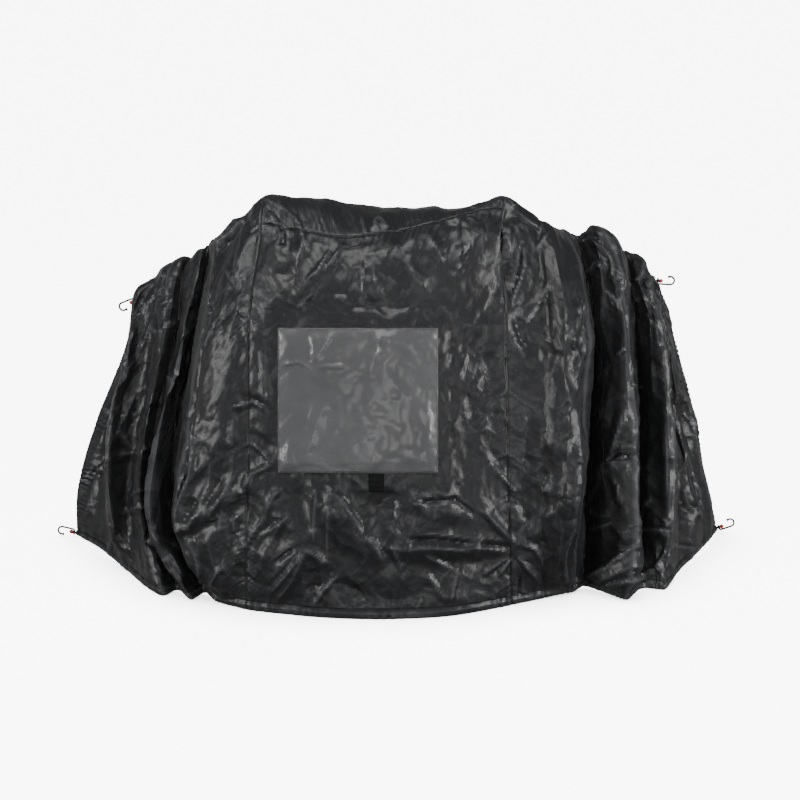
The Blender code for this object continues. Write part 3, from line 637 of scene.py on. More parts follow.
# %% [markdown]
# ## Creases that can be pointed at
# Some creases are so plain that everyone who sees the cover would point at them. They are
# drawn like strokes on an elevation of the cover: each has a height in millimetres, how wide
# its slope is on the left and on the right of the stroke, and the points it runs through, in
# centimetres across and up from the middle of the view. A stroke is a little roof, with a
# sharp ridge and two flat sides, because that is how coated cloth folds, and one with a
# height below zero is a ditch of the same form. Noise could not place them.
# %% The strokes
Stroke = namedtuple("Stroke", "name rise left right points")
STROKES = (
    # the left pleats and the shoulder, upper half
    Stroke("shoulder_wedge", 6, 1, 1.5, ((-50.5, 35), (-54, 40.5))),
    Stroke("shoulder_knot", 8, 1.5, 3, ((-46, 24.5), (-49.5, 28), (-49.5, 33.5))),
    Stroke("shoulder_edge", 7, 1, 4.5, ((-60.5, 31), (-59.5, 36.5), (-58, 46))),
    Stroke("shoulder_notch", -9, 1, 1, ((-58, 26), (-60.5, 31))),
    Stroke("under_shoulder", 7, 1, 4, ((-63.5, 0.5), (-63, 10.5), (-61.5, 17), (-60, 27.5))),
    Stroke("inner_left_glint", 8, 1.5, 1.5,
           ((-68, 16.5), (-66.5, 21), (-63.5, 29.5), (-62.5, 38))),
    Stroke("inner_left_dark", -9, 1, 1, ((-72, 3), (-69.5, 16), (-67.5, 25))),
    Stroke("soft_left_edge", 6, 1.5, 4.5, ((-78, 12.5), (-75.5, 20.5), (-68.5, 26.5))),
    Stroke("soft_left_bright", 5, 1, 1, ((-69.5, 0.5), (-69.5, 10.5))),
    Stroke("middle_left_line", 6, 2.5, 4,
           ((-85.5, 7.5), (-80.5, 19), (-76.5, 28), (-73, 33.5), (-62, 45))),
    Stroke("outer_left_line", 5, 1, 2.5, ((-87.5, 0.5), (-86, 7.5), (-85, 16), (-83.5, 26.5))),
    Stroke("upper_left_slit", -10, 1, 1, ((-75.5, 30.5), (-73.5, 33.5), (-72, 40.5))),
    Stroke("upper_left_facet", 5, 1, 2, ((-80.5, 30), (-78, 31), (-75.5, 37))),
    Stroke("flap_gap", -12, 0.8, 1.2, ((-57.5, 47), (-52, 52.5), (-47.5, 58))),
    Stroke("flap_edge", 8, 1, 2, ((-59, 47.5), (-54, 53), (-49, 58.5))),
    # the top and the upper half of the front
    Stroke("peak_line", 8, 2.5, 1, ((-29, 47), (-31.5, 55), (-38, 62))),
    Stroke("peak_side", 7, 2, 1, ((-32.5, 51), (-37.5, 54.5), (-42, 59.5))),
    Stroke("peak_dark", -8, 1, 1.5, ((-37.5, 48), (-36.5, 52), (-38, 55.5))),
    Stroke("brow_streak_one", 5, 1, 1, ((-23, 41.5), (-18.5, 47.5))),
    Stroke("brow_streak_two", 5, 1, 1, ((-29.5, 37), (-25.5, 40.5), (-21.5, 47.5))),
    Stroke("brow_streak_three", 4, 1, 1, ((-32, 28.5), (-27, 34))),
    Stroke("brow_triangle", 5, 2, 1, ((-31, 46), (-27.5, 51), (-23.5, 49.5))),
    Stroke("brow_hole", -9, 2, 1, ((-18.5, 49.5), (-15, 49), (-11.5, 49.5))),
    Stroke("top_facet_left", 6, 1, 3, ((-9, 53), (-7, 58))),
    Stroke("top_facet_right", 6, 3, 1, ((-4.5, 53.5), (-4, 54.5), (-7, 58))),
    Stroke("top_glint", 4, 1, 1.5, ((-10, 50), (-12.5, 58))),
    Stroke("front_pillar", 6, 4.5, 1, ((-12.5, 31.5), (-12, 44.5))),
    Stroke("front_tick", 3, 0.5, 1, ((-8.5, 36.5), (-8.5, 41))),
    Stroke("front_dash", 3, 1, 1, ((-21, 32), (-16, 32))),
    Stroke("front_fan_one", 6, 2, 2.5, ((13.5, 42.5), (10, 50.5))),
    Stroke("front_fan_two", 6, 2.5, 1.5, ((17.5, 40.5), (18.5, 48.5))),
    Stroke("front_fan_three", 4, 2, 2.5, ((7.5, 35), (2.5, 41.5))),
    Stroke("front_right_bend", 4, 2.5, 1.5, ((8, 25), (10.5, 28))),
    Stroke("seam_gap", -16, 1, 2, ((34.5, 31), (33, 41.5), (31.5, 50), (33, 58))),
    Stroke("seam_gap_two", -10, 1, 1, ((35.5, 33.5), (38, 42.5), (38, 48))),
    Stroke("crown_glint", 7, 1, 2.5, ((44.5, 53), (39.5, 56), (35.5, 60))),
    Stroke("crown_tick", 4, 1, 1, ((42.5, 46.5), (46.5, 52.5))),
    Stroke("sail_left", 8, 1, 5.5, ((35.5, 27.5), (35.5, 32), (39, 46))),
    Stroke("sail_foot", 6, 4.5, 1, ((35.5, 27.5), (39.5, 25), (44, 31), (47.5, 38))),
    Stroke("sail_dark", -6, 1.5, 2.5, ((39, 16), (37, 21.5), (35.5, 26))),
    Stroke("right_fan", 6, 2.5, 1.5, ((15, 41.5), (20.5, 48.5), (25, 54))),
    Stroke("right_fan_two", 5, 2, 1, ((25.5, 44), (25, 54))),
    # the right pleats, upper half
    Stroke("crest_one_head", 7, 4, 1, ((57, 38.5), (55.5, 46), (53.5, 53.5))),
    Stroke("crest_one_inner", 6, 1.5, 1, ((56.5, 19), (56, 27), (53.5, 36.5))),
    Stroke("crest_one_nick", -7, 1.5, 1.5, ((53.5, 16.5), (57, 17.5))),
    Stroke("crest_one_glint", 6, 2.5, 1, ((56.5, 0.5), (57, 15))),
    Stroke("crest_two_head", 6, 1.5, 1, ((70, 44), (67, 49), (61, 54.5))),
    Stroke("crest_two_pane", 6, 1.5, 3, ((55, 49), (59, 50.5), (64, 47))),
    Stroke("crest_two_fleck", 6, 1.5, 1.5, ((58, 37), (60.5, 42.5), (63, 40.5))),
    Stroke("crest_two_line", 6, 3, 0.5, ((71.5, 0.5), (71, 17), (69.5, 29.5), (70, 44))),
    Stroke("crest_two_kink", 6, 1, 1, ((67.5, 13.5), (70.5, 16.5))),
    Stroke("crest_three_ray_one", 6, 1, 1, ((75, 29.5), (71, 38))),
    Stroke("crest_three_ray_two", 6, 1, 1, ((77.5, 31), (73, 40))),
    Stroke("crest_three_edge", 5, 2.5, 1, ((81, 16), (79.5, 26.5))),
    Stroke("crest_three_tick", 5, 1, 1, ((71.5, 5.5), (76.5, 3.5))),
    Stroke("crest_three_tick_two", 4, 1, 1, ((74.5, 7.5), (72.5, 11.5))),
    Stroke("gather_knot_one", 7, 1, 1.5, ((73.5, 36), (75.5, 40), (76, 44))),
    Stroke("gather_knot_two", -8, 1, 1, ((75.5, 35.5), (77.5, 40), (77, 44.5))),
    Stroke("gather_knot_three", 7, 1, 1, ((77.5, 35), (79, 39))),
    Stroke("gather_knot_four", 7, 1, 1.5, ((79.5, 26), (80.5, 31))),
    # the left pleats, lower half
    Stroke("outer_small_fold", 7, 1, 2, ((-99, -37.5), (-95.5, -30), (-94.5, -22), (-91, -18.5))),
    Stroke("outer_left_edge", 6, 1, 3,
           ((-85, -51), (-89.5, -43.5), (-91, -29), (-91, -15.5), (-90, -5), (-87.5, 4.5))),
    Stroke("outer_left_pane", 5, 2.5, 1.5, ((-88.5, -8.5), (-82.5, -16.5), (-91, -17.5))),
    Stroke("outer_left_fleck", 5, 1.5, 1.5, ((-80, -16), (-77, -14))),
    Stroke("outer_left_cross", 5, 1.5, 2, ((-88, -36.5), (-83.5, -34), (-78, -33))),
    Stroke("outer_left_lip", 4, 2, 1, ((-84.5, -31), (-82.5, -29), (-78, -28))),
    Stroke("middle_left_crest_line", 7, 3, 2,
           ((-76, -43.5), (-77.5, -31.5), (-77, -24.5), (-74.5, -13.5), (-71, -1.5), (-69, 5.5))),
    Stroke("middle_left_foot", 6, 1, 2, ((-68, -58), (-71.5, -51), (-76, -43.5))),
    Stroke("middle_left_slot", -12, 1.5, 1, ((-69, -57), (-74.5, -49), (-79, -44), (-77.5, -36))),
    Stroke("outer_foot_crest", 6, 1, 1, ((-75, -55), (-80, -44))),
    Stroke("tongue_edge_line", 7, 1, 2,
           ((-71, -36.5), (-69, -30.5), (-66, -24), (-65.5, -15.5), (-65, -7), (-63, -1))),
    Stroke("tongue_left_line", 6, 2, 1, ((-71, -36.5), (-73, -32), (-69, -22), (-67, -14.5))),
    Stroke("tongue_slot", -10, 0.5, 0.5, ((-70.5, -33), (-68.5, -27), (-66.5, -22.5))),
    Stroke("tongue_hollow", -9, 3, 3, ((-67, -36), (-63.5, -31))),
    Stroke("knot_line", 8, 3, 1.5, ((-61, -37.5), (-57.5, -32.5), (-51.5, -22.5))),
    Stroke("knot_foot", 5, 1, 2.5, ((-56.5, -42), (-56.5, -36.5), (-61, -37.5))),
    Stroke("apron_edge", 6, 2, 2, ((-75.5, -42.5), (-66.5, -40), (-62.5, -32), (-58.5, -24))),
    Stroke("satin_line", 8, 3, 1.5, ((-62.5, -58.5), (-64, -48.5), (-67, -41))),
    Stroke("satin_edge", 6, 1.5, 2, ((-64, -55), (-67.5, -48.5), (-75.5, -43.5))),
    # the lower half of the front, left of the tab and under it
    Stroke("column_knot", 6, 1, 1.5, ((-52.5, -2.5), (-46, -0.5), (-42, -3))),
    Stroke("column_pane", 6, 1, 3, ((-38.5, -20), (-42, -18), (-46, -13.5))),
    Stroke("column_pane_two", 5, 2, 1.5, ((-53, -15.5), (-52, -4.5))),
    Stroke("window_corner_fold", 6, 1.5, 1.5, ((-49.5, -28.5), (-47, -23.5), (-38.5, -19.5))),
    Stroke("front_left_tick", 5, 1, 2, ((-51.5, -42), (-52.5, -37.5), (-49.5, -35))),
    Stroke("front_left_line", 5, 1.5, 1.5, ((-49, -47), (-46, -41.5), (-41.5, -36))),
    Stroke("front_left_glint", 6, 1.5, 1.5, ((-44.5, -55.5), (-48, -52))),
    Stroke("front_left_foot", 6, 1.5, 1, ((-60, -58), (-55, -51.5))),
    Stroke("blade_left", 5, 1, 3, ((-27, -45), (-26.5, -31), (-26, -25.5))),
    Stroke("blade_right", 9, 3, 2, ((-23, -52.5), (-22, -37), (-22.5, -28), (-26, -25.5))),
    Stroke("sash", 7, 3, 1.5, ((-11, -42), (-17.5, -32.5), (-22.5, -27.5))),
    Stroke("sash_end", 7, 2.5, 1.5, ((-5, -51.5), (-8, -44.5), (-11.5, -43.5))),
    Stroke("tab_side_glint", 5, 1, 1.5, ((-1.5, -38.5), (-0.5, -31))),
    Stroke("tab_far_glint", 4, 1, 1, ((1, -28), (2, -24))),
    Stroke("dark_arch", -6, 1.5, 1, ((2.5, -31), (10.5, -32), (17, -31), (25, -37))),
    Stroke("star_shadow", -12, 1.5, 3, ((0, -43.5), (11, -43.5), (25, -45))),
    Stroke("fang", 6, 1.5, 2, ((1, -54), (-2, -46.5), (2.5, -47))),
    Stroke("pane_top", 6, 1, 4, ((7, -48), (17.5, -53.5))),
    Stroke("pane_side", 8, 4, 1, ((15.5, -63.5), (18, -53.5))),
    Stroke("pane_foot", 5, 2.5, 1.5, ((15, -63.5), (7.5, -53))),
    Stroke("hollow_ridge", 8, 1.5, 2.5, ((-40.5, -60.5), (-35, -54), (-29.5, -47))),
    Stroke("hollow_ridge_two", 7, 1.5, 2, ((-40, -64.5), (-33, -55.5), (-29, -46.5))),
    Stroke("hollow_side", 7, 2, 2, ((-23, -52), (-29, -46))),
    Stroke("hollow", -9, 3, 3, ((-27, -60.5), (-27.5, -52))),
    Stroke("cut_line", 6, 1, 1.5, ((-27.5, -65), (-24.5, -60), (-19.5, -55))),
    Stroke("diagonal_dark", -7, 1, 1.5, ((-40, -51), (-33, -46))),
    Stroke("left_sail_line", 6, 2, 1.5, ((-42, -36), (-40, -31), (-36.5, -25.5))),
    Stroke("left_sail_foot", 5, 1, 2, ((-44, -43), (-37.5, -38.5), (-35.5, -36.5), (-41.5, -36))),
    Stroke("left_long_line", 6, 2, 2, ((-44, -52), (-41, -45), (-37, -38))),
    Stroke("short_foot", 5, 1, 1.5, ((4.5, -66.5), (7, -61.5))),
    Stroke("right_tick", 4, 1, 1, ((19, -26.5), (18.5, -23.5))),
    # the right pleats, lower half
    Stroke("crest_one_lower", 6, 2.5, 1, ((53.5, -41.5), (54.5, -29), (55, -19), (55.5, -0.5))),
    Stroke("crest_one_bump", 6, 1, 1, ((54, -18), (55.5, -19.5))),
    Stroke("crest_one_foot", 7, 1.5, 1, ((53, -58.5), (51.5, -54.5), (52, -49), (53.5, -41.5))),
    Stroke("crest_two_pane_low", 7, 2.5, 1.5, ((65, -19), (68.5, -10.5), (71, -0.5))),
    Stroke("tuck_black", -10, 1, 1, ((65.5, -18.5), (69, -17), (72.5, -18.5))),
    Stroke("tuck_line", 7, 0.5, 4, ((64.5, -20), (68, -19.5), (72.5, -19.5))),
    Stroke("tuck_side", 5, 1.5, 2, ((59, -33), (62.5, -27), (64.5, -20.5))),
    Stroke("tuck_inner", 5, 2, 1, ((69, -33.5), (68, -27), (66, -23))),
    Stroke("bulge_edge", 6, 2.5, 2, ((58, -41.5), (66, -38.5), (73, -45.5))),
    Stroke("bulge_upper", 5, 2.5, 1.5, ((58, -33.5), (62.5, -36.5), (67, -36))),
    Stroke("crest_two_foot", 9, 1.5, 1.5,
           ((53, -57.5), (61.5, -54.5), (66.5, -50.5), (73.5, -45.5))),
    Stroke("crest_three_stay", 6, 1, 1, ((74, -40), (78.5, -30.5))),
    Stroke("crest_three_tuck", 8, 1, 4.5, ((73.5, -40.5), (84.5, -41))),
    Stroke("crest_three_foot", 8, 1, 1.5,
           ((61.5, -59), (71.5, -56), (79.5, -52.5), (82.5, -48), (84.5, -41))),
    Stroke("right_foot_pane", 9, 1, 5, ((57, -57), (65, -53), (72, -47))),
    Stroke("right_foot_shade", -9, 1.5, 2, ((60, -59.5), (70, -55), (78, -52))),
    Stroke("crest_three_lower", 6, 2.5, 0.5, ((84.5, -41), (84, -20.5), (83.5, -0.5))),
    Stroke("crest_four_line", 7, 1, 2, ((94.5, -38), (93, -29), (88, -13), (84.5, -0.5))),
    Stroke("crest_four_pane", 6, 1.5, 1.5, ((94.5, -37.5), (89.5, -33), (88, -27))),
    Stroke("crest_four_foot", 6, 1, 1.5, ((85, -45.5), (92, -47))),
    Stroke("outer_right_ridge", 6, 1.5, 1.5,
           ((97.5, -37.5), (95, -28), (92.5, -15.5), (90.5, -3))),
    # the star of folds at the lower right of the front
    Stroke("star_ray_one", 7, 1.5, 1.5, ((36, -45), (30.5, -39.5), (25, -33.5))),
    Stroke("star_ray_two", -9, 1.5, 2, ((35.5, -46.5), (25, -45))),
    Stroke("star_ray_three", 6, 1, 1.5, ((43.5, -56.5), (39.5, -52.5), (36, -48))),
    Stroke("star_ray_four", 7, 1, 1, ((30.5, -55), (35, -49))),
    Stroke("star_ray_five", 5, 1, 1.5, ((45.5, -52), (42, -46.5), (37, -44.5))),
    Stroke("star_ray_six", 6, 1.5, 1.5, ((25, -55), (30, -51.5), (34.5, -48.5))),
    Stroke("star_drop", -8, 1, 1, ((37.5, -62), (37.5, -55))),
    Stroke("right_sheet_pane", 5, 1.5, 3, ((44.5, -29.5), (48, -23.5))),
    Stroke("right_sheet_low", 4, 2, 2.5, ((44.5, -37.5), (50, -33.5), (53.5, -37.5))),
    Stroke("seam_low_pane", 5, 1.5, 1, ((37, -30), (33, -25), (28, -18.5))),
)
STROKE_TAPER = 0.22          # share of a stroke's length over which it grows and fades
STROKE_ENDS = 0.15           # share of its height that is left at its very ends
FACING = 3.0                 # how fast a stroke fades where the cloth turns away from the view


def in_view(points):
    """Where points are seen: metres across and up on the plane through the view's middle."""
    sight = np.array(-toward)
    upward = np.array((0.0, math.sin(VIEW_PITCH), math.cos(VIEW_PITCH)))
    off = points - np.array(VIEW_TARGET)
    scale = 1 / (1 + off @ sight / VIEW_DISTANCE)
    return np.stack([off[..., 0] * scale, off @ upward * scale], axis=-1)


def stroke_height(seen, stroke):
    """The roof of one stroke over all the points seen."""
    points = np.array(stroke.points) * CM
    runs = np.diff(points, axis=0)
    lengths = np.linalg.norm(runs, axis=1)
    before = metres_along(points)
    nearest = np.full(seen.shape[:2], 1e9)
    height = np.zeros(seen.shape[:2])
    for start, run, length, first in zip(points, runs, lengths, before):
        off = seen - start
        share = np.clip(off @ run / length**2, 0, 1)
        rest = off - share[..., None] * run
        away = np.linalg.norm(rest, axis=-1)
        left = run[0] * rest[..., 1] - run[1] * rest[..., 0] > 0
        wide = np.where(left, stroke.left, stroke.right) * CM
        along = (first + share * length) / before[-1]
        taper = np.clip(np.minimum(along, 1 - along) / STROKE_TAPER, STROKE_ENDS, 1)
        roof = stroke.rise * MM * taper * np.clip(1 - away / wide, 0, 1)
        height = np.where(away < nearest, roof, height)
        nearest = np.minimum(nearest, away)
    return height


seen = in_view(fine_cloth)
facing = np.clip(outward(fine_cloth) @ np.array(toward) * FACING, 0, 1)
stroke_heights = sum(stroke_height(seen, stroke) for stroke in STROKES) * facing
print("strokes: %d, %.1f to %.1f mm"
      % (len(STROKES), stroke_heights.min() / MM, stroke_heights.max() / MM))

# %% [markdown]
# ## Facets
# The cover has been folded small in its bag, and its coating keeps the marks: flat panes with
# sharp edges between them. Smooth noise would give soft dents, like leather. Instead points
# are scattered over the flat cloth, each gets a random height, and Delaunay triangles join
# them. A ray that is dropped on these triangles reads the height of a flat pane anywhere. The
# panes come in three sizes, and they are longer than wide. In the side pieces they stand
# upright, because the pleats pull the cloth that way. The two smaller sizes come and go, so
# that crumpled cloth lies next to cloth that is pulled smooth.
# %% Facet heights
Facets = namedtuple("Facets", "pitch height turn long seed")
FRONT_FACETS = (
    Facets(105 * MM, 14.0 * MM, 62, 1.5, 3),
    Facets(52 * MM, 9.0 * MM, -38, 1.6, 8),
    Facets(27 * MM, 2.5 * MM, 75, 1.4, 15),
)
SIDE_FACETS = (
    Facets(80 * MM, 15.0 * MM, 88, 2.6, 21),
    Facets(42 * MM, 9.0 * MM, 76, 1.8, 24),
    Facets(24 * MM, 3.5 * MM, 101, 1.5, 27),
)
JITTER = 0.42                # of a pitch, how far a point strays from its place in the rows
CALM = 0.12                  # share of the small panes' height that is left in calm places
CALM_SCALE = 6.0
CALM_CONTRAST = 1.6
SIDE_BLEND = 0.5             # lines from a seam over which the side's panes take over
STROKE_SHARE = 1.35          # the strokes' own heights are drawn a little low


def facet_heights(s, t, kind):
    """Heights of the panes at the cloth's own metres s and t."""
    rng = np.random.default_rng(kind.seed)
    turn = math.radians(kind.turn)
    along = (s * math.cos(turn) + t * math.sin(turn)) / (kind.pitch * kind.long)
    aside = (t * math.cos(turn) - s * math.sin(turn)) / kind.pitch
    low = np.floor([along.min(), aside.min()]) - 2
    counts = (np.ceil([along.max(), aside.max()]) + 2 - low).astype(int)
    columns, rows = np.meshgrid(np.arange(counts[0]), np.arange(counts[1]), indexing="ij")
    places = np.stack([columns, rows], axis=-1) + rng.uniform(-JITTER, JITTER, (*counts, 2))
    places = (places + low).reshape(-1, 2)
    rises = rng.uniform(-1, 1, len(places)) * kind.height
    found = delaunay_2d_cdt([Vector(place) for place in places], [], [], 0, 1e-6)
    corners = [(*corner, rises[origin[0]]) for corner, origin in zip(found[0], found[3])]
    panes = BVHTree.FromPolygons(corners, found[2])
    down = Vector((0, 0, -1))
    hits = (panes.ray_cast(Vector((x, y, 1)), down)[0] for x, y in zip(along.flat, aside.flat))
    return np.array([hit.z for hit in hits]).reshape(s.shape)


def crumpled_places(s, t):
    """0 where the cloth is pulled smooth, 1 where it is crumpled."""
    mask = [noise.noise(Vector((x, y, 0.3)) * CALM_SCALE) for x, y in zip(s.flat, t.flat)]
    return np.clip(np.array(mask).reshape(s.shape) * CALM_CONTRAST + 0.5, 0, 1)


grid_s, grid_t = np.meshgrid(across, up)
line_u, line_v = np.meshgrid(fine_u, fine_v)
side_share = np.clip(np.maximum(LEFT_SEAM - line_u, line_u - RIGHT_SEAM) / SIDE_BLEND, 0, 1)
crumpled = CALM + (1 - CALM) * crumpled_places(grid_s, grid_t)
heights = STROKE_SHARE * stroke_heights
for order, (front_kind, side_kind) in enumerate(zip(FRONT_FACETS, SIDE_FACETS)):
    front = facet_heights(grid_s, grid_t, front_kind)
    side = facet_heights(grid_s, grid_t, side_kind)
    strength = crumpled if order else 1.0
    heights = heights + (front * (1 - side_share) + side * side_share) * strength
print("facets: %.1f to %.1f mm" % (heights.min() / MM, heights.max() / MM))

# %% [markdown]
# ## Seams, hem and gathers
# A seam pulls: the thread is a little shorter than the cloth, so the seam lies in a groove and
# small puckers run into it from both sides. The hem is turned over a cord and stitched, which
# gives a roll along the edge and a ridge at the stitching. At the open back the same cord is
# elastic and draws the edges into gathers. All of these follow lines of the grid, so they are
# heights as well: a function of the distance to the line, times an uneven wave along it.
# %% Uneven waves along a line
WAVE_DRIFT = 9.0             # radians by which a wave's crests stray
WAVE_SIZE = 0.45             # its mean height, and how much that varies
WAVE_SIZES = 1.6
WAVE_MOST = 1.1


def uneven_wave(metres, pitch, seed):
    """A wave along a line, whose crests are not evenly far apart and not all as high."""
    drift = np.array([noise.noise(Vector((x / pitch / 3, seed, 0.5))) for x in metres.flat])
    size = np.array([noise.noise(Vector((x / pitch / 2, seed, 7.5))) for x in metres.flat])
    phase = metres * (2 * math.pi / pitch) + drift.reshape(metres.shape) * WAVE_DRIFT
    tall = np.clip(WAVE_SIZE + WAVE_SIZES * size.reshape(metres.shape), 0.0, WAVE_MOST)
    return np.sin(phase) * tall


# %% Seams
SEAM_GROOVE = 1.2 * MM
SEAM_HALF = 7 * MM
PUCKER = 1.8 * MM
PUCKER_REACH = 32 * MM
PUCKER_PITCH = 19 * MM
PUCKER_SLANT = 0.45          # the puckers lean, by this much of their distance to the seam


def seam_height(away, along, seed):
    """Groove and puckers beside a seam."""
    groove = -SEAM_GROOVE * np.exp(-(away / SEAM_HALF)**2)
    near = np.exp(-np.abs(away) / PUCKER_REACH) - np.exp(-np.abs(away) / SEAM_HALF)
    slanted = along + PUCKER_SLANT * np.abs(away)
    return groove + PUCKER * near * uneven_wave(slanted, PUCKER_PITCH, seed)


seam_across = [np.interp(line, fine_u, across) for line in SEAMS_ACROSS]
seam_up = np.interp(TOP_SEAM, fine_v, up)
between_seams = (line_u > LEFT_SEAM) & (line_u < RIGHT_SEAM)
seam_heights = [seam_height(grid_s - metres, grid_t, 1.5 + order)
                for order, metres in enumerate(seam_across)]
seam_heights.append(np.where(between_seams, seam_height(grid_t - seam_up, grid_s, 3.5), 0))
print("side seams %.2f and %.2f m across, top seam %.2f m up" % (*seam_across, seam_up))

# %% Hem
HEM_WIDE = 27 * MM
HEM_ROLL = 4.0 * MM
HEM_FULLNESS = 0.6           # below 1 the roll is fuller than a sine's arch
HEM_GROOVE = 2.5 * MM        # where the hem is stitched down
HEM_GROOVE_HALF = 5 * MM
HEM_RIPPLE = 1.5 * MM
HEM_RIPPLE_REACH = 1.4 * HEM_WIDE
HEM_RIPPLE_PITCH = 24 * MM


def hem_height(t, s):
    """The rolled hem, and the groove of its stitching."""
    roll = HEM_ROLL * np.sin(np.clip(t / HEM_WIDE, 0, 1) * math.pi)**HEM_FULLNESS
    line = -HEM_GROOVE * np.exp(-((t - HEM_WIDE) / HEM_GROOVE_HALF)**2)
    wave = uneven_wave(s, HEM_RIPPLE_PITCH, 4.5)
    return roll + line + HEM_RIPPLE * np.exp(-t / HEM_RIPPLE_REACH) * wave


# %% Gathers
GATHER = 4.5 * MM
GATHER_REACH = 42 * MM
GATHER_SHORTEST = 20 * MM
GATHER_PITCH = 23 * MM
GATHER_SLANT = 0.25
GATHER_GROUPS = 90 * MM      # pitch at which longer and shorter folds take turns
GATHER_CALM = 20 * MM        # the corded edge itself waves less than the cloth beside it
GATHER_EDGE = 0.3            # share of the folds' height that is left at the edge


def gather_height(away, along, seed):
    """Folds that run in from an edge that is drawn together."""
    reach = GATHER_REACH * (0.8 + 0.5 * uneven_wave(along, GATHER_GROUPS, seed + 3))
    share = np.exp(-(away / np.maximum(reach, GATHER_SHORTEST))**2)
    share *= np.clip(away / GATHER_CALM, GATHER_EDGE, 1)
    return GATHER * share * uneven_wave(along + GATHER_SLANT * away, GATHER_PITCH, seed)


# %% [markdown]
# All the heights are added up before the cloth is moved, because they fade in each other's
# favour: the facets near the edges, where the hem's roll and the gathers take over, and nearly
# all of them behind the sign window, whose stiff sheet pulls the nylon flat.
# %% Heights along the seams and edges
FADE = 60 * MM               # from an edge, where the facets are at their full height
FADED_HEM, FADED_REAR, FADED_SIDE = 0.12, 0.2, 0.25      # shares that are left at the edges
SIDE_GATHER_START = -40 * MM # up from the hem; they are two thirds as high at the corner
FOOT_GATHER = 0.8            # the gathers of the foot against those of the sides
FOOT_GATHER_END = 0.42       # metres from each corner
FOOT_GATHER_FADE = 0.12
WINDOW_MIDDLE = (-13.1 * CM, -0.1 * CM)
WINDOW_REACH = 29 * CM
WINDOW_SQUARE = 20           # power that makes the flattened place a square with a soft rim
WINDOW_FLAT = 0.92           # share of the relief that is pulled out
WINDOW_DIP = 3 * MM          # and the cloth gives way behind it

from_left = grid_s
from_right = cloth_width - grid_s
from_rear = cloth_height - grid_t
from_side = np.minimum(from_left, from_right)
heights *= (np.clip(grid_t / FADE, FADED_HEM, 1) * np.clip(from_rear / FADE, FADED_REAR, 1)
            * np.clip(from_side / FADE, FADED_SIDE, 1))
for seam in seam_heights:
    heights += seam
heights += hem_height(grid_t, grid_s)
side_on = np.clip((grid_t - SIDE_GATHER_START) / FADE, 0, 1)
heights += gather_height(from_left, grid_t, 11.5) * side_on
heights += gather_height(from_right, grid_t, 13.5) * side_on
foot_on = np.clip((FOOT_GATHER_END - from_side) / FOOT_GATHER_FADE, 0, 1)
heights += FOOT_GATHER * gather_height(grid_t, grid_s, 17.5) * foot_on
off_window = np.maximum(*(np.abs(seen[..., k] - WINDOW_MIDDLE[k]) / WINDOW_REACH
                          for k in range(2)))
window_share = np.clip(1 - off_window**WINDOW_SQUARE, 0, 1) * between_seams
heights = heights * (1 - WINDOW_FLAT * window_share) - WINDOW_DIP * window_share
creased_cloth = fine_cloth + outward(fine_cloth) * heights[..., None]
print("all heights: %.1f to %.1f mm" % (heights.min() / MM, heights.max() / MM))

# %% [markdown]
# Black coating turns a little grey where it is folded sharply, and the same grey is a painted
# highlight: sharp ridges and the crests of the pleats are lightened as if they caught the light.
# A shader can't measure a fold, so the mesh does: each point gets a value for how far it stands
# above its neighbours, and the crests of the pleats, which are folded all the way up, get the
# full value.
# %% Where the coating is creased, and where the highlight is painted
CREASE_BEND = 1.6 * MM       # a step in height over one cell that gets the full grey and painted highlight


def ridges(heights):
    """0 to 1: how sharply each point stands above its neighbours."""
    edged = np.pad(heights, 1, mode="edge")
    around = (edged[:-2, 1:-1] + edged[2:, 1:-1] + edged[1:-1, :-2] + edged[1:-1, 2:]) / 4
    return np.clip((heights - around) / CREASE_BEND, 0, 1)


CREST_LINES = [index for index, name in enumerate(NAMES) if "crest" in name]
CREST_HALF = 0.035           # of the way to the next line

# painted highlight over a little grey of creased coating: sharp ridges, and every pleat crest in
# full
crease_and_highlight = ridges(heights)
for index in CREST_LINES:
    crease_and_highlight = np.maximum(crease_and_highlight, np.exp(-((line_u - index) / CREST_HALF)**2))
print("creased share: %.2f" % crease_and_highlight.mean())

# %% [markdown]
# ## Finishes
# The nylon is woven from shiny flat thread and coated, so it is black with a satin gloss. One
# colour and one roughness would make it look like rubber. What makes it cloth is small: flat
# little panes all over, thicker threads that only a close look finds, a gloss that varies
# with wear, and grey where the coating has been creased, which is lightened further as a
# painted highlight on sharp ridges and pleat crests. All of it follows the cloth's own UV map
# in metres, so the pattern has the same size in the pleats as on the front.
# %% Patterns on the cloth
def cloth_place(tree):
    """The place on the cloth in metres."""
    return tree.node("UVMap", {"uv_map": "cloth"})


def noise_on(tree, place, scale, detail=2.0):
    return tree.node("TexNoise", None, {"Vector": place, "Scale": scale, "Detail": detail})


def bent(tree, place, scale, amount):
    """The place moved about a little, so that straight patterns bend."""
    shift = tree.node("TexNoise", None, {"Vector": place, "Scale": scale, "Detail": 1.0}, 1)
    centred = tree.node("VectorMath", {"operation": "SUBTRACT"}, [shift, (0.5, 0.5, 0.5)])
    small = tree.node("VectorMath", {"operation": "SCALE"}, {"Vector": centred, "Scale": amount})
    return tree.node("VectorMath", {"operation": "ADD"}, [place, small])


Panes = namedtuple("Panes", "turn stretch to_a_metre height")


def panes(tree, place, kind):
    """Flat panes with straight edges: the distance to scattered points, by the longer side."""
    laid = tree.node("Mapping", {"vector_type": "TEXTURE"},
                     {"Vector": place, "Rotation": (0, 0, math.radians(kind.turn)),
                      "Scale": (kind.stretch, 1, 1)})
    return tree.node("TexVoronoi", {"feature": "F1", "distance": "CHEBYCHEV"},
                     {"Vector": laid, "Scale": kind.to_a_metre})


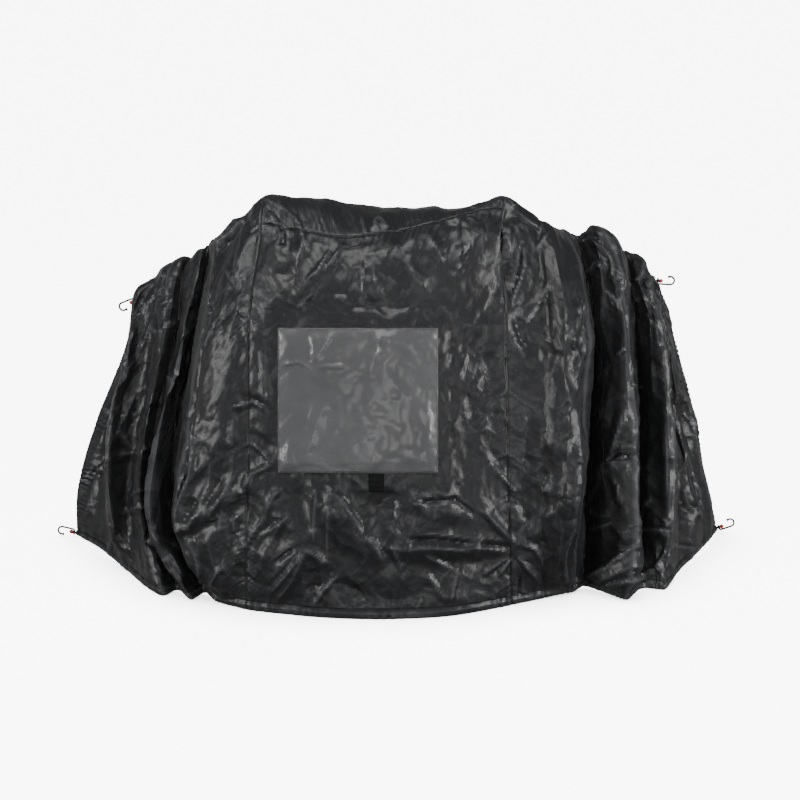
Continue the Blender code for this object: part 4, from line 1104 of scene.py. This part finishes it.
def bands(tree, place, axis, scale):
    """Soft bands across one axis of the cloth, 0.314 m over the scale apart."""
    return tree.node("TexWave", {"bands_direction": axis}, {"Vector": place, "Scale": scale})


def bump(tree, height, distance, under=None):
    """Relief from a height, over the relief given as under."""
    return tree.node("Bump", None, {"Height": height, "Distance": distance, "Strength": 1.0,
                                    "Normal": under})


def blend(tree, share, low, high):
    """Two colours mixed by share. Either may be a wire."""
    low, high = (end if isinstance(end, Wire) else (*end, 1) for end in (low, high))
    return tree.node("Mix", {"data_type": "RGBA"}, {0: share, 6: low, 7: high}, 2)


def crease_and_highlight_value(tree):
    """The value each point of a sheet has for its creased coating and its painted highlight."""
    return tree.node("Attribute", {"attribute_name": "crease"}, output=2)


# %% Coated nylon
NYLON_BLACK = (0.0095, 0.0102, 0.0113)
NYLON_WORN = (0.0165, 0.0172, 0.0185)
# grey of creased coating, lightened into a painted highlight on ridges and pleat crests
NYLON_CREASE_AND_HIGHLIGHT = (0.060, 0.062, 0.065)
NYLON_PANES = (
    Panes(62, 1.8, 13.0, 11.0 * MM),
    Panes(-35, 1.6, 27.0, 5.0 * MM),
    Panes(80, 1.5, 52.0, 1.2 * MM),
)
WEAVE_SCALE = 45.0           # 7 mm from one thicker thread to the next
WEAVE_RELIEF = 0.02 * MM


def coated_nylon():
    material, tree, feed = new_material("coated_nylon", NYLON_BLACK, 0.4,
                                        Sheen_Weight=0.08, Sheen_Roughness=0.4)
    place = cloth_place(tree)
    relief = bump(tree, bands(tree, place, "X", WEAVE_SCALE)
                  + bands(tree, place, "Y", WEAVE_SCALE), WEAVE_RELIEF)
    wavy = bent(tree, place, 7.0, 0.05)
    crumpled = noise_on(tree, place, 4.0) * 1.4 - 0.15
    for kind in NYLON_PANES:
        relief = bump(tree, panes(tree, wavy, kind) * crumpled, kind.height, relief)
    feed("Normal", relief)
    wear = noise_on(tree, place, 7.0, 4.0)
    plain = blend(tree, wear, NYLON_BLACK, NYLON_WORN)
    # ridges and pleat crests turn grey: creased coating and painted highlight
    feed("Base Color", blend(tree, crease_and_highlight_value(tree), plain, NYLON_CREASE_AND_HIGHLIGHT))
    feed("Roughness", wear * 0.12 + 0.32)
    return material


nylon = coated_nylon()

# %% Clear sheet
SHEET_GREY = (0.115, 0.117, 0.120)
SHEET_PALE = (0.170, 0.172, 0.175)
# paler on the sheet's ridges: creased sheet and painted highlight
SHEET_CREASE_AND_HIGHLIGHT = (0.24, 0.24, 0.245)
SHEET_PANES = (Panes(70, 1.6, 11.0, 7 * MM), Panes(-30, 1.5, 24.0, 1.2 * MM))


def window_sheet():
    """Smoky clear sheet. A glass shader would show every fold behind it, but the real sheet is
    milky, so the shader is a plain one that lets two fifths of what is behind it through."""
    material, tree, feed = new_material("clear_sheet", SHEET_GREY, 0.3, Coat_Weight=0.2)
    place = cloth_place(tree)
    cloudy = noise_on(tree, place, 5.0, 3.0)
    milky = blend(tree, cloudy, SHEET_GREY, SHEET_PALE)
    # ridges turn paler: creased sheet and painted highlight
    feed("Base Color", blend(tree, crease_and_highlight_value(tree), milky, SHEET_CREASE_AND_HIGHLIGHT))
    feed("Roughness", cloudy * 0.2 + 0.2)
    feed("Alpha", cloudy * 0.2 + 0.52)
    wavy = bent(tree, place, 5.0, 0.06)
    relief = None
    for kind in SHEET_PANES:
        relief = bump(tree, panes(tree, wavy, kind), kind.height, relief)
    feed("Normal", relief)
    return material


clear_sheet = window_sheet()


# %% Woven tape
TAPE_BLACK = (0.004, 0.004, 0.0045)
TAPE_RIBS = 22.0             # 14 mm apart
TAPE_THREADS = 60.0          # 5 mm apart


def woven_tape():
    material, tree, feed = new_material("webbing", TAPE_BLACK, 0.8, Specular_IOR_Level=0.2)
    place = cloth_place(tree)
    ribs = bands(tree, place, "Y", TAPE_RIBS)
    threads = bands(tree, place, "X", TAPE_THREADS)
    feed("Normal", bump(tree, threads, 0.2 * MM, bump(tree, ribs, 0.5 * MM)))
    feed("Roughness", ribs * 0.15 + 0.7)
    return material


webbing = woven_tape()


# %% Thread, sheath, bead and wire
def small_finish(name, low, high, rough, spread, scale, depth):
    """A finish for a small piece: mottled in colour and gloss, faintly uneven."""
    material, tree, feed = new_material(name, low, rough)
    place = tree.node("TexCoord", output=3)
    mottle = noise_on(tree, place, scale, 4.0)
    feed("Base Color", blend(tree, mottle, low, high))
    feed("Roughness", mottle * spread + rough)
    feed("Normal", bump(tree, mottle, depth))
    return material


thread = small_finish("thread", (0.004, 0.004, 0.005), (0.010, 0.010, 0.011), 0.65, 0.2, 400.0,
                      0.2 * MM)
cord_sheath = small_finish("cord_sheath", (0.006, 0.006, 0.007), (0.016, 0.016, 0.017), 0.7,
                           0.2, 900.0, 0.2 * MM)
bead_red = small_finish("bead_red", (0.42, 0.022, 0.016), (0.55, 0.045, 0.03), 0.3, 0.15,
                        500.0, 0.1 * MM)
hook_wire = small_finish("hook_wire", (0.006, 0.0065, 0.007), (0.018, 0.019, 0.020), 0.35,
                         0.2, 300.0, 0.1 * MM)
print("materials:", len(bpy.data.materials))

# %% [markdown]
# ## The four panels
# The cover is cut along its seams: the front, the top and the two sides are blocks of the same
# fine grid. They meet point on point, so no gap can open between them. A live Solidify
# modifier gives them a thickness that is more than the real 0.3 mm, so that an edge which is
# seen close up still has some body. Each piece hides the solid of the frame that it stands for,
# and prints how large it was before it was pleated and hung.
# %% A piece of sheet
SHEET_THICKNESS = 1.2 * MM
SLACK = 1e-9                 # when a grid line is compared with a seam


def finish_sheet(piece, node, material, thickness):
    """Gives a sheet its finish and thickness, and hides the solid it stands for."""
    piece.data.materials.append(material)
    body = piece.modifiers.new("thickness", "SOLIDIFY")
    body.thickness = thickness
    body.offset = 0
    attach(piece, "root")
    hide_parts(node)


def longest(block, axis):
    """The longest line of a grid of points along one axis."""
    return np.linalg.norm(np.diff(block, axis=axis), axis=2).sum(axis=axis).max()


def declare_sheet(piece, block, held, **settings):
    """Says how large the piece was cut: its longest lines both ways, and its true area."""
    flat = (float(longest(block, 1)), float(longest(block, 0)))
    area = sum(face.area for face in piece.data.polygons)
    print("%s: cut %.2f x %.2f m, %.3f m2, %d faces"
          % (piece.name, *flat, area, len(piece.data.polygons)))


# %% Cutting the panels
Panel = namedtuple("Panel", "node across up")
PANELS = (
    Panel("front_panel", (LEFT_SEAM, RIGHT_SEAM), (0, TOP_SEAM)),
    Panel("top_panel", (LEFT_SEAM, RIGHT_SEAM), (TOP_SEAM, LAST_STATION)),
    Panel("left_panel", (0, LEFT_SEAM), (0, LAST_STATION)),
    Panel("right_panel", (RIGHT_SEAM, LAST_LINE), (0, LAST_STATION)),
)


def steps_between(values, low, high):
    return np.flatnonzero((values >= low - SLACK) & (values <= high + SLACK))


for panel in PANELS:
    columns = steps_between(fine_u, *panel.across)
    rows = steps_between(fine_v, *panel.up)
    block = np.ix_(rows, columns)
    piece, _, _ = sheet_object(panel.node + "_cloth", creased_cloth[block], across[columns],
                               up[rows], crease_and_highlight[block])
    finish_sheet(piece, panel.node, nylon, SHEET_THICKNESS)
    declare_sheet(piece, creased_cloth[block], "draped")

# %% [markdown]
# ## Sign window and tab
# The window is a square of clear sheet that is sewn on flat along its four edges. It is stiffer
# than the nylon, so its own creases are broader. It could be cut from a block of the cover's
# grid, but the grid's lines lean and bulge there, and the window is a true square to anyone
# who stands behind the cover. So its corners are given in the view, and for each of its points
# the place on the cloth that is seen there is looked up. The tab is a short tape that is sewn
# on in the same way.
# %% Places on the cloth
def on_cover(values, u, v):
    """Values of the fine grid read at u and v, in between its points."""
    column = np.interp(u, fine_u, np.arange(len(fine_u)))
    row = np.interp(v, fine_v, np.arange(len(fine_v)))
    i = np.minimum(row.astype(int), len(fine_v) - 2)
    j = np.minimum(column.astype(int), len(fine_u) - 2)
    a = (row - i)[..., None]
    b = (column - j)[..., None]
    return ((1 - a) * (1 - b) * values[i, j] + (1 - a) * b * values[i, j + 1]
            + a * (1 - b) * values[i + 1, j] + a * b * values[i + 1, j + 1])


LOOK_UPS = 30
LOOK_STEP = 0.6              # share of what is missing that one look-up makes good
LINE_PITCH = 16 * CM         # the mean step between lines and stations behind the window
STATION_PITCH = 31 * CM
FIRST_GUESS = (float(NAMES.index("front_left")), 2.2)
LEAST_V = 0.05
smooth_seen = in_view(refined(refined(smooth_cloth, 0), 1))


def places_seen(a, b):
    """The u and v of the cloth that is seen at a and b, metres from the view's middle. Each
    look-up moves the guess by a share of what is still missing."""
    u, v = (np.full(a.shape, guess) for guess in FIRST_GUESS)
    for _ in range(LOOK_UPS):
        got = on_cover(smooth_seen, u, v)
        u = np.clip(u + (a - got[..., 0]) / LINE_PITCH * LOOK_STEP, 1, LAST_LINE - 1)
        v = np.clip(v + (b - got[..., 1]) / STATION_PITCH * LOOK_STEP,
                    LEAST_V, LAST_STATION - LEAST_V)
    return u, v


# %% Pieces sewn on the cloth
PATCH_STEP = 5 * MM
PATCH_EDGE = 35 * MM         # from the sewn edge, where the piece is at its full height
PATCH_PUFF = 6 * MM          # how far its middle stands off the cloth
PATCH_LOWEST = -7.0 * MM     # its dents stop short of the cloth behind
cover_normals = outward(creased_cloth)


def patch(name, corners, lift, relief=None):
    """A sheet sewn on the cover, with its points. corners are lower left and upper right, in
    centimetres from the view's middle. relief gives its own heights, which fade at its edge."""
    (left, low), (right, high) = np.array(corners) * CM
    columns = int((right - left) / PATCH_STEP)
    rows = int((high - low) / PATCH_STEP)
    a, b = np.meshgrid(np.linspace(left, right, columns + 1), np.linspace(low, high, rows + 1))
    u, v = places_seen(a, b)
    s, t = (on_cover(metres[..., None], u, v)[..., 0] for metres in (grid_s, grid_t))
    edge = np.minimum.reduce([a - left, right - a, b - low, high - b])
    share = np.clip(edge / PATCH_EDGE, 0, 1)
    own = np.zeros(a.shape)
    if relief:
        own = np.maximum(relief(s, t, np.stack([a, b], axis=-1)), PATCH_LOWEST) * share
    normals = unit(on_cover(cover_normals, u, v))
    points = on_cover(fine_cloth, u, v) + normals * (lift + own + PATCH_PUFF * share)[..., None]
    # ridges(own) marks where the sheet is creased and where its highlight is painted
    piece, _, _ = sheet_object(name, points, s[rows // 2], t[:, columns // 2], ridges(own))
    return piece, points


# %% The window and the tab
WINDOW = ((-38.1, -22.8), (11.9, 22.5))
WINDOW_THICKNESS = 0.8 * MM
WINDOW_LIFT = 3.0 * MM
WINDOW_FACETS = (Facets(150 * MM, 12 * MM, 65, 1.4, 41), Facets(62 * MM, 5.5 * MM, -30, 1.5, 42))
WINDOW_FACET_SHARE = 0.5     # the clear sheet is stiffer than the nylon
WINDOW_STROKES = (
    Stroke("column_edge", 5, 9, 1, ((-27.6, 22), (-27.2, 16), (-26.8, 10.5))),
    Stroke("column_streak", 4, 1, 1.5, ((-21, 21), (-24, 16), (-26, 12))),
    Stroke("middle_streak", 5, 1, 2.5, ((-6, 20.5), (-7, 16), (-8.5, 12))),
    Stroke("middle_hollow", -5, 1.5, 2, ((-5, 20), (-6.5, 12), (-7.5, 5.5))),
    Stroke("level_line", 4, 1, 1.5, ((-26.5, 10.5), (-20, 10.8), (-15, 10.3))),
    Stroke("arc", 4, 1.5, 1, ((-37, 11), (-31.5, 12), (-28, 10), (-26, 7.5))),
    Stroke("low_pane", 4, 4, 2, ((-30, -20), (-26, -8), (-22, 2))),
    Stroke("right_pane", 3, 2.5, 4, ((4, -18), (2, -4), (6, 12))),
)
TAB = ((-9.8, -28.6), (-5.0, -23.2))
TAB_THICKNESS = 1.5 * MM
TAB_LIFT = 2 * MM


def window_relief(s, t, seen):
    """The window's own panes and strokes."""
    relief = sum(facet_heights(s, t, kind) for kind in WINDOW_FACETS) * WINDOW_FACET_SHARE
    return relief + sum(stroke_height(seen, stroke) for stroke in WINDOW_STROKES)


window, window_points = patch("sign_window_sheet", WINDOW, WINDOW_LIFT, window_relief)
finish_sheet(window, "sign_window", clear_sheet, WINDOW_THICKNESS)
declare_sheet(window, window_points, "stretched", rests_on=["front_panel_cloth"])
tab, _ = patch("closure_tab_tape", TAB, TAB_LIFT)
finish_sheet(tab, "closure_tab", webbing, TAB_THICKNESS)
print("closure_tab_tape: %d faces" % len(tab.data.polygons))

# %% [markdown]
# ## Stitches
# The thread shows as a dotted line beside each seam, along the hem and round the window. A
# dotted bump would do from afar, but each stitch is a raised grain of thread that catches the
# light, so each is a slim box with its long side along the line. There are about two thousand,
# and they are joined in four meshes.
# %% A row of stitches
STITCH_PITCH = 7 * MM
STITCH = (4.4 * MM, 0.9 * MM, 0.6 * MM)          # length, width and height
STITCH_LIFT = 0.7 * MM       # from the middle of the cloth to the middle of the stitch


def stitch_row(name, lines):
    """Stitches along lines, each a list of points and of directions out of the cloth."""
    bm = bmesh.new()
    for points, normals in lines:
        metres = metres_along(points)
        stops = np.arange(STITCH_PITCH, metres[-1] - STITCH_PITCH, STITCH_PITCH)
        for stop in stops:
            start, here, end = (np.array([np.interp(stop + off, metres, points[:, k])
                                          for k in range(3)])
                                for off in (-STITCH[0] / 2, 0, STITCH[0] / 2))
            nearest = np.searchsorted(metres, stop)
            x = Vector(end - start).normalized()
            z = Vector(normals[nearest])
            y = z.cross(x).normalized()
            z = x.cross(y)
            turn = Matrix((x, y, z)).transposed().to_4x4()
            size = Matrix.Diagonal((*STITCH, 1))
            place = Matrix.Translation(Vector(here) + z * STITCH_LIFT)
            bmesh.ops.create_cube(bm, size=1, matrix=place @ turn @ size)
    mesh = bpy.data.meshes.new(name)
    bm.to_mesh(mesh)
    bm.free()
    mesh.materials.append(thread)
    row = add_object(name, mesh)
    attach(row, "root")
    print("%s: %d faces" % (name, len(mesh.polygons)))


def along_cloth(u, v):
    """Points and directions on the finished cloth along lists of u and v."""
    return on_cover(creased_cloth, u, v), unit(on_cover(cover_normals, u, v))


# %% The rows on the cover
SEAM_ROW = 5 * MM            # from the seam to its row of stitches
HEM_ROW = HEM_WIDE + 2 * MM
LINE_POINTS = 900
ROW_START_UP = 0.02          # stations, and lines, that a row stays clear of the edge
ROW_START_ACROSS = 0.1

whole_up = np.linspace(ROW_START_UP, LAST_STATION - ROW_START_UP, LINE_POINTS)
whole_across = np.linspace(ROW_START_ACROSS, LAST_LINE - ROW_START_ACROSS, LINE_POINTS * 2)
inner_across = np.linspace(LEFT_SEAM + ROW_START_ACROSS, RIGHT_SEAM - ROW_START_ACROSS,
                           LINE_POINTS)
seam_lines = []
for metres in seam_across:
    for side in (-SEAM_ROW, SEAM_ROW):
        line = np.interp(metres + side, across, fine_u)
        seam_lines.append(along_cloth(np.full(LINE_POINTS, line), whole_up))
stitch_row("side_seam_stitches", seam_lines)
top_line = np.interp(seam_up - SEAM_ROW, up, fine_v)
stitch_row("top_seam_stitches", [along_cloth(inner_across, np.full(LINE_POINTS, top_line))])
hem_lines = np.interp((HEM_ROW, cloth_height - HEM_ROW), up, fine_v)
stitch_row("hem_stitches", [along_cloth(whole_across, np.full(len(whole_across), line))
                            for line in hem_lines])

# %% The row round the window
ROW_INSET = 1                # grid steps from the window's edge to its stitches
window_normals = outward(window_points)
inner = slice(ROW_INSET, -ROW_INSET)
edges = ((ROW_INSET, inner), (-1 - ROW_INSET, inner), (inner, ROW_INSET), (inner, -1 - ROW_INSET))
stitch_row("window_stitches", [(window_points[edge], window_normals[edge]) for edge in edges])

# %% [markdown]
# ## Hooks, beads and cord ends
# Each hook is one wire: an eye that goes round the cord, a shank past the bead and a round
# curl that ends in a dipped tip. A curve with a round bevel makes such a wire, and a radius
# for each of its points makes the swollen tip. The cord's sheath is braided: a tube whose
# radius follows two sets of strands that wind both ways.
# %% Where the hooks are
# end: left -1, right 1. corner: where the cord leaves the hem, in the fold table's own
# centimetres. turn: degrees that the cord rises outwards. side: the shank's, above 1, below -1.
Hook = namedtuple("Hook", "name end corner turn side")
HOOKS = (
    Hook("lower_left", -1, (-107.13, 23.1, 1.3), 14, 1),
    Hook("lower_right", 1, (105.38, 27.0, 1.5), 20, -1),
    Hook("upper_left", -1, (-84.94, 29.0, 79.3), -22, 1),
    Hook("upper_right", 1, (82.10, 29.0, 85.9), -3, -1),
)
WIRE_RADIUS = 3.3 * MM       # with its coating
CORD_RADIUS = 3.0 * MM
EYE_RADIUS = 6.0 * MM
EYE_AT = 7.0 * MM            # from where the cord leaves the hem
EYE_TURN = 270
EYE_POINTS = 19
EYE_LEAD = 4 * MM            # along the cord, from the eye to the start of the shank
STUB_LENGTH = 9.0 * MM
STUB_START = -6.0 * MM       # inside the hem
BEAD_RADIUS = 6.4 * MM
BEAD_LENGTH = 15.0 * MM
BEAD_FULLNESS = 0.8
SHANK_OFFSET = 10.5 * MM
SHANK_LENGTH = 40.0 * MM
CURL_RADIUS = 13.0 * MM
CURL_TURN = 192
CURL_POINTS = 25
TIP_LENGTH = 6.0 * MM
TIP_RISE = 0.15              # of its length
TIP_PLACES = (0.0, 0.3, 0.85, 1.0)               # shares of its length
TIP_SWELLS = (1.215, 1.35, 1.35, 0.945)          # its radius there, over the wire's


def hook_frame(hook):
    """x runs out along the cord, z to the shank's side, from where the cord leaves the hem."""
    turn = math.radians(hook.turn)
    out = Vector((hook.end * math.cos(turn), 0, math.sin(turn)))
    aside = Vector((-hook.end * math.sin(turn), 0, math.cos(turn))) * hook.side
    depth = aside.cross(out)
    place = Vector(hook.corner) * CM - Vector((CENTRE[0], CENTRE[1], 0))
    return Matrix.Translation(place) @ Matrix((out, depth, aside)).transposed().to_4x4()


def add_piece(name, bm, hook, material, node):
    """Puts a shape that was made along the cord in its place, and makes it a piece."""
    bm.transform(hook_frame(hook))
    bmesh.ops.recalc_face_normals(bm, faces=bm.faces[:])
    mesh = bpy.data.meshes.new(name)
    bm.to_mesh(mesh)
    bm.free()
    mesh.materials.append(material)
    mesh.shade_smooth()
    piece = add_object(name, mesh)
    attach(piece, "root")
    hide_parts(node)


# %% The wire
SAME_POINT = 0.01 * MM       # points that lie closer are one


def wire_points():
    """Points of the wire and their radii, from the eye's open end to the tip."""
    points = []
    for angle in np.radians(np.linspace(90 - EYE_TURN, 90, EYE_POINTS)):
        points.append((EYE_AT, EYE_RADIUS * math.cos(angle), EYE_RADIUS * math.sin(angle)))
    curl_x = EYE_AT + SHANK_LENGTH
    curl_z = SHANK_OFFSET - CURL_RADIUS
    points.append((EYE_AT + EYE_LEAD, 0, SHANK_OFFSET))
    points.append(((EYE_AT + curl_x) / 2, 0, SHANK_OFFSET))
    for angle in np.radians(np.linspace(90, 90 - CURL_TURN, CURL_POINTS)):
        points.append((curl_x + CURL_RADIUS * math.cos(angle), 0,
                       curl_z + CURL_RADIUS * math.sin(angle)))
    x, _, z = points.pop()
    radii = [1.0] * len(points) + list(TIP_SWELLS)
    points += [(x - share * TIP_LENGTH, 0, z + share * TIP_LENGTH * TIP_RISE)
               for share in TIP_PLACES]
    return points, radii


def make_wire(hook):
    curve = bpy.data.curves.new("wire", "CURVE")
    curve.dimensions = "3D"
    curve.bevel_depth = WIRE_RADIUS
    curve.bevel_resolution = 3
    curve.use_fill_caps = True
    points, radii = wire_points()
    spline = curve.splines.new("POLY")
    spline.points.add(len(points) - 1)
    for point, place, radius in zip(spline.points, points, radii):
        point.co = (*place, 1)
        point.radius = radius
    drawn = bpy.data.objects.new("wire", curve)
    tube = bpy.data.meshes.new_from_object(drawn)
    bm = bmesh.new()
    bm.from_mesh(tube)
    bpy.data.objects.remove(drawn)
    bpy.data.meshes.remove(tube)
    bmesh.ops.remove_doubles(bm, verts=bm.verts, dist=SAME_POINT)
    add_piece("hook_" + hook.name, bm, hook, hook_wire, "wire_hook_" + hook.name)


# %% The bead and the braided cord end
STRANDS = 8
BRAID_DEPTH = 0.10           # of the cord's radius
BRAID_PITCH = 7 * MM
CORD_STEPS = (30, 48)        # faces along and around


def make_bead(hook):
    bm = bmesh.new()
    bmesh.ops.create_uvsphere(bm, u_segments=32, v_segments=20, radius=1.0)
    for vert in bm.verts:
        vert.co.z = math.copysign(abs(vert.co.z)**BEAD_FULLNESS, vert.co.z)
    bmesh.ops.scale(bm, verts=bm.verts, vec=(BEAD_RADIUS, BEAD_RADIUS, BEAD_LENGTH / 2))
    bmesh.ops.rotate(bm, verts=bm.verts, matrix=Matrix.Rotation(math.pi / 2, 3, "Y"))
    middle = STUB_LENGTH + BEAD_LENGTH / 2
    bmesh.ops.translate(bm, verts=bm.verts, vec=(middle, 0, 0))
    add_piece("bead_" + hook.name, bm, hook, bead_red, "cord_bead_" + hook.name)


def make_cord_end(hook):
    """A flat grid, rolled into a tube whose radius is the braid's, and closed at its ends."""
    along, around = CORD_STEPS
    bm = bmesh.new()
    bmesh.ops.create_grid(bm, x_segments=along, y_segments=around, size=0.5)
    for vert in bm.verts:
        x = STUB_START + (vert.co.x + 0.5) * (STUB_LENGTH - STUB_START)
        angle = (vert.co.y + 0.5) * 2 * math.pi
        wind = x / BRAID_PITCH * 2 * math.pi
        strands = max(math.sin(STRANDS * angle + wind), math.sin(STRANDS * angle - wind))
        radius = CORD_RADIUS * (1 - BRAID_DEPTH + BRAID_DEPTH * strands)
        vert.co = (x, radius * math.cos(angle), radius * math.sin(angle))
    bmesh.ops.remove_doubles(bm, verts=bm.verts, dist=SAME_POINT)
    bmesh.ops.holes_fill(bm, edges=bm.edges[:])
    add_piece("cord_end_" + hook.name, bm, hook, cord_sheath,
              "cord_stub_" + hook.name)


for hook in HOOKS:
    make_wire(hook)
    make_bead(hook)
    make_cord_end(hook)
print("hooks:", len(HOOKS))
